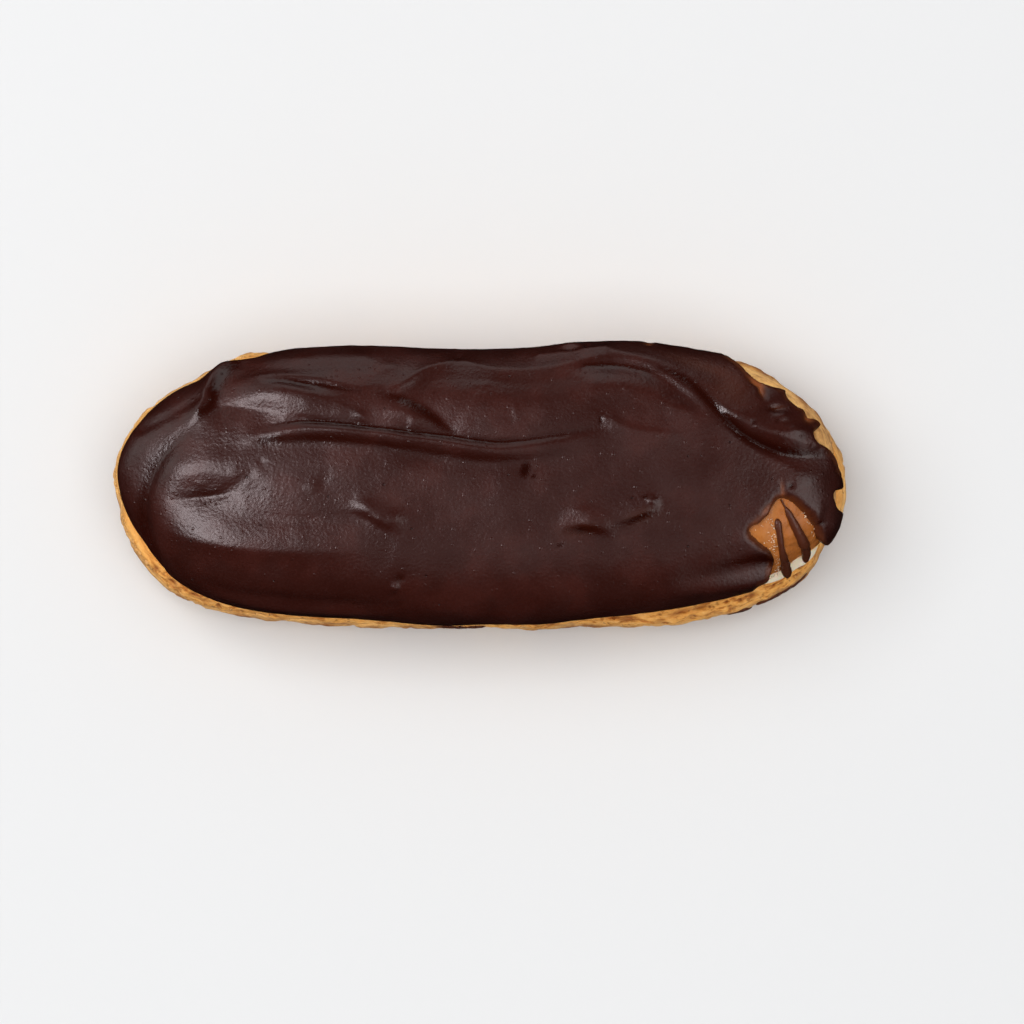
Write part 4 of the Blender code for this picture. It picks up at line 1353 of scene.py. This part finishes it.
class LidSurface:
    """The lid's smooth dome, and the flat sheet of icing that is laid over it."""

    def __init__(self):
        self.dome = Section(LID_DOME)
        self.spare = self.dome.length - LID_OUTLINE.half_width
        self.half_x = LID_OUTLINE.half_length + self.spare
        self.half_y = LID_OUTLINE.half_width + self.spare

    def inside(self, sheet):
        """Which points of the sheet lie within its outline."""
        reach = (np.abs(sheet[:, 0]) / self.half_x) ** LID_OUTLINE.squareness
        return reach + (np.abs(sheet[:, 1]) / self.half_y) ** LID_OUTLINE.squareness < 1.0

    def lay(self, sheet):
        """Points of the sheet on the dome, with how far up the dome they are and where round it."""
        walked = inset_reached(np.abs(sheet), self.half_x, self.half_y, -2.0)
        run, rise = sheet[:, 0] / (self.half_x - walked), sheet[:, 1] / (self.half_y - walked)
        inset, height = self.dome.at(np.maximum(walked, 0.0))
        x, y = plan_points(LID_OUTLINE, run, rise, inset)
        return raised(x, y, drooped(x, height + np.minimum(walked, 0.0))), walked, run, rise

    def normals(self, sheet):
        step = 0.15
        across = self.lay(sheet + (step, 0.0))[0] - self.lay(sheet - (step, 0.0))[0]
        along = self.lay(sheet + (0.0, step))[0] - self.lay(sheet - (0.0, step))[0]
        return unit(np.cross(across, along))

    def edge_depth(self, sheet, settings):
        """How far inside the icing's edge each point of the sheet is, less than 0 outside it."""
        wander = settings.wander / MM
        base, walked, run, rise = self.lay(sheet)
        rim_x, rim_y = plan_points(LID_OUTLINE, run, rise, np.zeros(len(sheet)))
        edge = ICING_EDGE_HEIGHT + lobe_sum(ICING_EDGE_LOBES, rim_x, rim_y)
        rim = np.column_stack((rim_x, rim_y, np.zeros(len(sheet))))
        depth = walked - self.dome.distance_of_height(edge) + wander * fractal(rim, 3.0, 3)
        seen = (base + self.normals(sheet) * (0.75 * settings.thickness / MM))[:, :2]
        steep = np.maximum(self.dome.flatness(walked), 0.35)
        uneven = 0.6 * wander * fractal(base, 1.6, 2)
        for corners in (BARE_PATCH, BARE_RIM, BARE_NOTCH):
            depth = soft_minimum(depth, outside_region(seen, corners) / steep + uneven, 0.8)
        return depth

    def fringe(self, seen):
        """1 at the edge of a bare place, falling to 0 a little way into the icing."""
        away = np.min([outside_region(seen, corners) for corners in (BARE_PATCH, BARE_RIM)], axis=0)
        return smooth_step(1.3, 0.2, away + 0.5 * fractal(np.column_stack((seen, away)), 1.5, 2))

    def below(self, places):
        """Points straight below places in plan, on the dome or on the slope off its edge."""
        centred = places - (0.0, LID_OUTLINE.centre_y)
        outward = centred / (LID_OUTLINE.half_length**2, LID_OUTLINE.half_width**2)
        swell = lobe_sum(LID_OUTLINE.lobes, places[:, 0], places[:, 1])
        sizes = np.abs(centred - unit(outward) * swell[:, None])
        inset = inset_reached(sizes, LID_OUTLINE.half_length, LID_OUTLINE.half_width, -4.0)
        sloped = self.dome.points[self.dome.points[:, 0] > OFF_EDGE[-1][0] + 0.3]
        ground = np.vstack((OFF_EDGE, sloped))
        height = np.interp(inset, ground[:, 0], ground[:, 1])
        return raised(places[:, 0], places[:, 1], drooped(places[:, 0], height))


def icing_sheet(surface, settings):
    """The icing as a closed flat slab, trimmed to its shape and finer on its upper side."""
    pitch = settings.pitch / MM
    bm = grid(round(2 * surface.half_x / pitch), round(2 * surface.half_y / pitch))
    bmesh.ops.translate(bm, vec=(-0.5, -0.5, 0.0), verts=bm.verts)
    bmesh.ops.scale(bm, vec=(2 * surface.half_x, 2 * surface.half_y, 1.0), verts=bm.verts)
    centres = np.array([face.calc_center_median() for face in bm.faces])[:, :2]
    inside = surface.inside(centres)
    depth = np.full(len(centres), -np.inf)
    depth[inside] = surface.edge_depth(centres[inside], settings)
    loose = [face for face, value in zip(bm.faces, depth) if value < -ICING_TUCK]
    bmesh.ops.delete(bm, geom=loose, context="FACES")
    for _ in range(EDGE_SMOOTHINGS):
        border = [vert for vert in bm.verts if vert.is_boundary]
        bmesh.ops.smooth_vert(bm, verts=border, factor=0.5, use_axis_x=True, use_axis_y=True)
    top = list(bm.faces)
    lower = bmesh.ops.extrude_face_region(bm, geom=top, use_keep_orig=True)["geom"]
    lower_verts = [item for item in lower if isinstance(item, bmesh.types.BMVert)]
    bmesh.ops.translate(bm, vec=(0.0, 0.0, -1.0), verts=lower_verts)
    bmesh.ops.recalc_face_normals(bm, faces=bm.faces)
    upper_edges = [edge for edge in bm.edges if min(v.co.z for v in edge.verts) > -0.5]
    bmesh.ops.subdivide_edges(bm, edges=upper_edges, cuts=1, use_grid_fill=True)
    return bm


def icing_height(depth, settings):
    """How high the icing stands above the crust at a depth inside its edge."""
    thickness, lip = settings.thickness / MM, settings.lip / MM
    share = np.clip(depth / lip, 0.0, 1.0)
    inside = thickness * np.sqrt(1 - (1 - share) ** 2)
    return np.where(depth > 0, inside, np.maximum(depth * 1.3, -0.6))


def icing_relief(seen, base):
    """The spatula's folds, creases and bubbles over the plain coat."""
    relief = 0.18 * fractal(base, 13.0, 2) + 0.04 * fractal(base, 3.2, 2)
    for stroke in STROKES:
        relief += stroke_relief(seen, stroke)
    for dab in DABS:
        relief += dab_relief(seen, dab)
    return relief


def make_icing(settings):
    surface = LidSurface()
    bm = icing_sheet(surface, settings)
    slab = vertex_points(bm)
    sheet, upper = slab[:, :2], slab[:, 2] > -0.5
    made = object_from(bm, "icing")
    base = surface.lay(sheet)[0]
    normals = surface.normals(sheet)
    depth = surface.edge_depth(sheet, settings)
    height = icing_height(depth, settings)
    seen = (base + normals * settings.thickness / MM)[:, :2]
    thin = FRINGE_GLOW * surface.fringe(seen)
    for spot in THIN_SPOTS:
        thin += dab_relief(seen, spot)
    thin = np.clip(thin, 0.0, 1.0)
    # Where shade is painted darker into the icing's colour: its deep holes and creases.
    spots = strongest(dab_relief(seen, spot) for spot in PAINTED_SHADE_SPOTS)
    lines = strongest(stroke_relief(seen, line) for line in PAINTED_SHADE_LINES)
    sunk = np.clip(np.maximum(spots, lines), 0.0, 1.0)
    settled = smooth_step(0.0, SETTLED_DEPTH, depth)
    height = height + icing_relief(seen, base) * settled - THIN_DROP * thin * settled
    height = np.where(depth > 0.3, np.maximum(height, LEAST_COAT), height)
    height = np.where(upper, height, -ICING_SEAT)
    set_mesh_points(made.data, base + normals * height[:, None])
    store(made.data, thin=thin, sunk=sunk)
    chocolate = shared_material("chocolate_icing", icing_material, settings)
    return finish_piece(made, "chocolate_icing", "icing", chocolate)


def swept(stations, across, up, half_widths, depths):
    """A closed strip of oval section along its stations."""
    last = len(stations) - 1
    bm = grid(STRIP_SIDES, last)
    at = vertex_points(bm)
    index = np.rint(at[:, 1] * last).astype(int)
    turn = at[:, 0] * math.tau
    points = stations[index] + across[index] * (half_widths[index] * np.cos(turn))[:, None]
    points += up[index] * (depths[index] * np.sin(turn))[:, None]
    seam = seam_vertices(bm)
    place_vertices(bm, points)
    bmesh.ops.remove_doubles(bm, verts=seam, dist=0.004 * MM)
    ends = [edge for edge in bm.edges if edge.is_boundary]
    bmesh.ops.holes_fill(bm, edges=ends, sides=0)
    bmesh.ops.recalc_face_normals(bm, faces=bm.faces)
    return bm


def even_stations(corners, count):
    """Evenly spaced rows on the smooth curve through the corners."""
    line = smooth_line(corners, 16)
    walked = walked_by(np.linalg.norm(np.diff(line[:, :2], axis=0), axis=1))
    wanted = np.linspace(0.0, walked[-1], count)
    return np.column_stack([np.interp(wanted, walked, column) for column in line.T])


def blunt_ends(count, reach=0.08):
    """How full a strip is along its length: 1, and rounded off to almost nothing at its ends."""
    share = np.linspace(0.0, 1.0, count)
    from_end = np.clip(np.minimum(share, 1 - share) / reach, 0.0, 1.0)
    return np.sqrt(np.maximum(1 - (1 - from_end) ** 2, 0.01))


def make_drips(settings):
    surface = LidSurface()
    bm = bmesh.new()
    full = blunt_ends(DRIP_STATIONS)
    for corners in DRIPS:
        rows = even_stations(corners, DRIP_STATIONS)
        ground = surface.below(rows[:, :2])
        along = unit(np.gradient(ground, axis=0))
        probe = np.column_stack((along[:, 1], -along[:, 0])) * 0.3
        across = unit(surface.below(rows[:, :2] + probe) - surface.below(rows[:, :2] - probe))
        up = np.cross(across, along)
        width = rows[:, 2] * full * (1 + 0.12 * fractal(ground, 1.6, 2))
        depth = (0.3 + 0.5 * rows[:, 2]) * full
        join_into(bm, swept(ground + up * 0.12, across, up, width, depth))
    made = object_from(bm, "drips")
    store(made.data, thin=DRIP_GLOW)
    chocolate = shared_material("chocolate_icing", icing_material, settings)
    return finish_piece(made, "chocolate_icing", "icing", chocolate)


def base_side(places, heights):
    """Points on the base's side nearest to places in plan, at heights, with normals."""
    section = Section(BASE_SECTION[2:9])
    run, rise = even_outline(BASE_OUTLINE, np.linspace(0.0, 1.0, 1441))
    points = []
    for place, height in zip(places, heights):
        inset, _height = section.at(section.distance_of_height(height))
        x, y = plan_points(BASE_OUTLINE, run, rise, np.full(len(run), inset))
        nearest = np.argmin(np.hypot(x - place[0], y - place[1]))
        points.append(raised(x[nearest : nearest + 1], y[nearest : nearest + 1], height)[0])
    points = np.array(points)
    outward = points[:, :2] / (BASE_OUTLINE.half_length**2, BASE_OUTLINE.half_width**2)
    return points, unit(np.column_stack((outward, np.zeros(len(points)))))


def make_smears(settings):
    bm = bmesh.new()
    full = blunt_ends(SMEAR_STATIONS, 0.15)
    for corners in SMEARS:
        rows = even_stations(corners, SMEAR_STATIONS)
        ground, up = base_side(rows[:, :2], rows[:, 2])
        across = unit(np.cross(up, unit(np.gradient(ground, axis=0))))
        width = rows[:, 3] * full * (1 + 0.35 * fractal(ground, 1.8, 2))
        depth = (0.22 + 0.1 * rows[:, 3]) * full * (1 + 0.3 * fractal(ground + 5.0, 1.2, 2))
        join_into(bm, swept(ground + up * 0.05, across, up, width, depth))
    made = object_from(bm, "smears")
    store(made.data, thin=SMEAR_GLOW)
    chocolate = shared_material("chocolate_icing", icing_material, settings)
    return finish_piece(made, None, "icing", chocolate)


def rough_chunks(name, places, sizes, subdivisions, seed):
    """Small uneven lumps, each turned its own way, as one mesh."""
    chance = np.random.default_rng(seed)
    bm = bmesh.new()
    for place, size in zip(places, sizes):
        part = bmesh.new()
        bmesh.ops.create_icosphere(part, subdivisions=subdivisions, radius=1.0)
        at = vertex_points(part)
        turn = np.array(Euler(chance.uniform(0.0, math.tau, 3)).to_matrix())
        uneven = 1 + 0.35 * fractal(at + chance.uniform(0.0, 90.0, 3), 1.1, 2)
        flattened = at * uneven[:, None] * chance.uniform(0.6, 1.0, 3) * size / 2
        place_vertices(part, flattened @ turn.T + place)
        join_into(bm, part)
    return object_from(bm, name)


def make_crumbs(settings):
    knobs = np.array(KNOBS)
    chance = np.random.default_rng(settings.seed)
    run, rise = even_outline(BASE_OUTLINE, chance.uniform(0.0, 1.0, RIM_CRUMBS))
    x, y = plan_points(BASE_OUTLINE, run, rise, np.zeros(RIM_CRUMBS))
    places = np.vstack((knobs[:, :2], np.column_stack((x, y))))
    heights = np.concatenate((knobs[:, 2], chance.uniform(*CRUMB_HEIGHTS, RIM_CRUMBS)))
    small = settings.size / MM * chance.uniform(0.35, 1.0, RIM_CRUMBS) ** 2
    sizes = np.concatenate((knobs[:, 3], small))
    at, _outward = base_side(places, heights)
    crumbs = rough_chunks("crumbs", at, sizes, 3, settings.seed)
    toasted = shared_material("toasted_crumbs", grain_material, settings.crumb, "toasted_crumbs")
    return finish_piece(crumbs, None, "choux", toasted)


def make_grains(settings):
    chance = np.random.default_rng(settings.seed + 1)
    places = []
    for corners in GLINT_GRAIN_LINES:
        line = smooth_line(corners)
        chosen = line[chance.integers(0, len(line), GRAINS_PER_LINE)]
        places.append(chosen + chance.normal(0.0, GRAIN_SCATTER, chosen.shape))
    on_lid = LidSurface().below(np.vstack(places))
    sizes = chance.uniform(*GRAIN_SIZES, len(on_lid))
    grains = rough_chunks("grains", on_lid + (0.0, 0.0, 0.06), sizes, 1, settings.seed)
    # The grains' pale colour also stands as painted glints on the patch.
    sugar = shared_material("sugary_grains", grain_material, settings.sugar, "sugary_grains")
    return finish_piece(grains, None, "choux", sugar)


# ---------------------------------------------------------------------------------------------
# The stage


# Where the camera looks straight down, and the height at which it takes in the view's width.
AIM = (6.1 * MM, -5.4 * MM)
SEEN_HEIGHT = 27.0 * MM

# Cards that only gloss shows: name, place and size in metres, and how brightly each glows.
CARDS = (
    ("top_card", (0.15, -0.62, 1.8), 0.8, 0.27),
    ("back_card", (-0.1, 1.45, 0.22), 1.1, 0.8),
    ("edge_card", (-1.0, 1.05, 0.55), 0.7, 0.9),
    ("right_card", (1.15, -0.15, 1.0), 1.1, 1.8),
    ("corner_card", (0.95, -0.9, 0.6), 0.7, 0.8),
    ("left_card", (-1.35, 0.45, 0.2), 0.8, 1.2),
)


def area_light(name, place, size, power, colour=(1.0, 1.0, 1.0), rise=None):
    """A soft box that faces the bun, as high as it is wide unless a rise is given."""
    data = bpy.data.lights.new(name, "AREA")
    data.shape = "RECTANGLE"
    data.size = size
    data.size_y = rise or size
    data.energy = power
    data.color = colour
    made = bpy.data.objects.new(name, data)
    bpy.context.scene.collection.objects.link(made)
    made.location = place
    made.rotation_euler = (-Vector(place)).to_track_quat("-Z", "Y").to_euler()
    return made


def make_stage(settings):
    bm = bmesh.new()
    bmesh.ops.create_grid(bm, x_segments=8, y_segments=8, size=2.5)
    floor = object_from(bm, "floor")
    floor.data.materials.append(floor_material(settings.floor))
    floor.visible_glossy = False

    soft_box = area_light("soft_box", (-0.62, 0.36, 1.3), 0.9, settings.key)
    soft_box.visible_glossy = False
    ceiling = area_light("ceiling", (0.0, 0.0, 1.8), 1.6, settings.ceiling)
    ceiling.visible_glossy = False
    sheen = area_light("sheen_card", (-0.88, 0.04, 1.1), 0.5, settings.sheen, (1.0, 0.93, 0.96), 0.75)
    sheen.visible_diffuse = False
    for name, place, size, glow in CARDS:
        card = area_light(name, place, size, glow * math.pi * size**2)
        card.visible_diffuse = False

    world = bpy.data.worlds.new("studio")
    bpy.context.scene.world = world
    world.use_nodes = True
    sky = world.node_tree.nodes["Background"]
    sky.inputs["Color"].default_value = (0.97, 0.985, 1.0, 1.0)
    sky.inputs["Strength"].default_value = settings.sky
    world.cycles_visibility.glossy = False

    lens = bpy.data.cameras.new("camera")
    lens.sensor_width = 36.0
    lens.lens = lens.sensor_width * (settings.camera_height - SEEN_HEIGHT) / settings.view_width
    lens.clip_end = 20.0
    camera = bpy.data.objects.new("camera", lens)
    bpy.context.scene.collection.objects.link(camera)
    camera.location = (*AIM, settings.camera_height)
    bpy.context.scene.camera = camera
    bpy.context.scene.view_settings.view_transform = "Standard"


# ---------------------------------------------------------------------------------------------
# Operators and panel


class ECLAIR_OT_base(Operator):
    """Bakes the bottom half of the bun, with its hollow and its open-pored rim"""

    bl_idname = "eclair.base"
    bl_label = "Base"

    def execute(self, context):
        make_base(context.scene.eclair.choux)
        return {"FINISHED"}


class ECLAIR_OT_cream(Operator):
    """Fills the base with whipped cream"""

    bl_idname = "eclair.cream"
    bl_label = "Cream"

    def execute(self, context):
        make_cream(context.scene.eclair.cream)
        return {"FINISHED"}


class ECLAIR_OT_lid(Operator):
    """Bakes the top half of the bun"""

    bl_idname = "eclair.lid"
    bl_label = "Lid"

    def execute(self, context):
        make_lid(context.scene.eclair.choux)
        return {"FINISHED"}


class ECLAIR_OT_icing(Operator):
    """Spreads the icing over the lid, with its ridges and its bare patch"""

    bl_idname = "eclair.icing"
    bl_label = "Icing"

    def execute(self, context):
        make_icing(context.scene.eclair.icing)
        return {"FINISHED"}


class ECLAIR_OT_drips(Operator):
    """Lets two drips and a thread of icing run over the bare patch"""

    bl_idname = "eclair.drips"
    bl_label = "Drips"

    def execute(self, context):
        make_drips(context.scene.eclair.icing)
        return {"FINISHED"}


class ECLAIR_OT_smears(Operator):
    """Leaves smears of icing on the side of the base"""

    bl_idname = "eclair.smears"
    bl_label = "Smears"

    def execute(self, context):
        make_smears(context.scene.eclair.icing)
        return {"FINISHED"}


class ECLAIR_OT_crumbs(Operator):
    """Sticks toasted crumbs along the cut rim"""

    bl_idname = "eclair.crumbs"
    bl_label = "Crumbs"

    def execute(self, context):
        make_crumbs(context.scene.eclair.crumbs)
        return {"FINISHED"}


class ECLAIR_OT_grains(Operator):
    """Scatters sugary grains over the bare patch, pale so that they also stand as painted glints"""

    bl_idname = "eclair.grains"
    bl_label = "Grains"

    def execute(self, context):
        make_grains(context.scene.eclair.crumbs)
        return {"FINISHED"}


class ECLAIR_OT_stage(Operator):
    """Sets up the floor, the lights and the camera"""

    bl_idname = "eclair.stage"
    bl_label = "Stage"

    def execute(self, context):
        make_stage(context.scene.eclair.studio)
        return {"FINISHED"}


STEPS = (
    ECLAIR_OT_stage, ECLAIR_OT_base, ECLAIR_OT_cream, ECLAIR_OT_lid, ECLAIR_OT_icing,
    ECLAIR_OT_drips, ECLAIR_OT_smears, ECLAIR_OT_crumbs, ECLAIR_OT_grains,
)  # fmt: skip


class ECLAIR_PT_sidebar(Panel):
    """Lists the steps that make the eclair, and its settings"""

    bl_idname = "ECLAIR_PT_sidebar"
    bl_label = "Eclair"
    bl_space_type = "VIEW_3D"
    bl_region_type = "UI"
    bl_category = "Eclair"

    def draw(self, context):
        for step in STEPS:
            self.layout.operator(step.bl_idname)
        settings = context.scene.eclair
        for group in (settings.choux, settings.cream, settings.icing, settings.crumbs, settings.studio):
            box = self.layout.box()
            for name in group.__annotations__:
                box.prop(group, name)


CLASSES = (
    EclairChoux, EclairCream, EclairIcing, EclairCrumbs, EclairStudio, EclairSettings, *STEPS,
    ECLAIR_PT_sidebar,
)  # fmt: skip


def register():
    for item in CLASSES:
        bpy.utils.register_class(item)
    bpy.types.Scene.eclair = PointerProperty(type=EclairSettings)


def unregister():
    del bpy.types.Scene.eclair
    for item in reversed(CLASSES):
        bpy.utils.unregister_class(item)


def main():
    register()
    for step in STEPS:
        family, name = step.bl_idname.split(".")
        getattr(getattr(bpy.ops, family), name)()


if __name__ == "__main__":
    main()
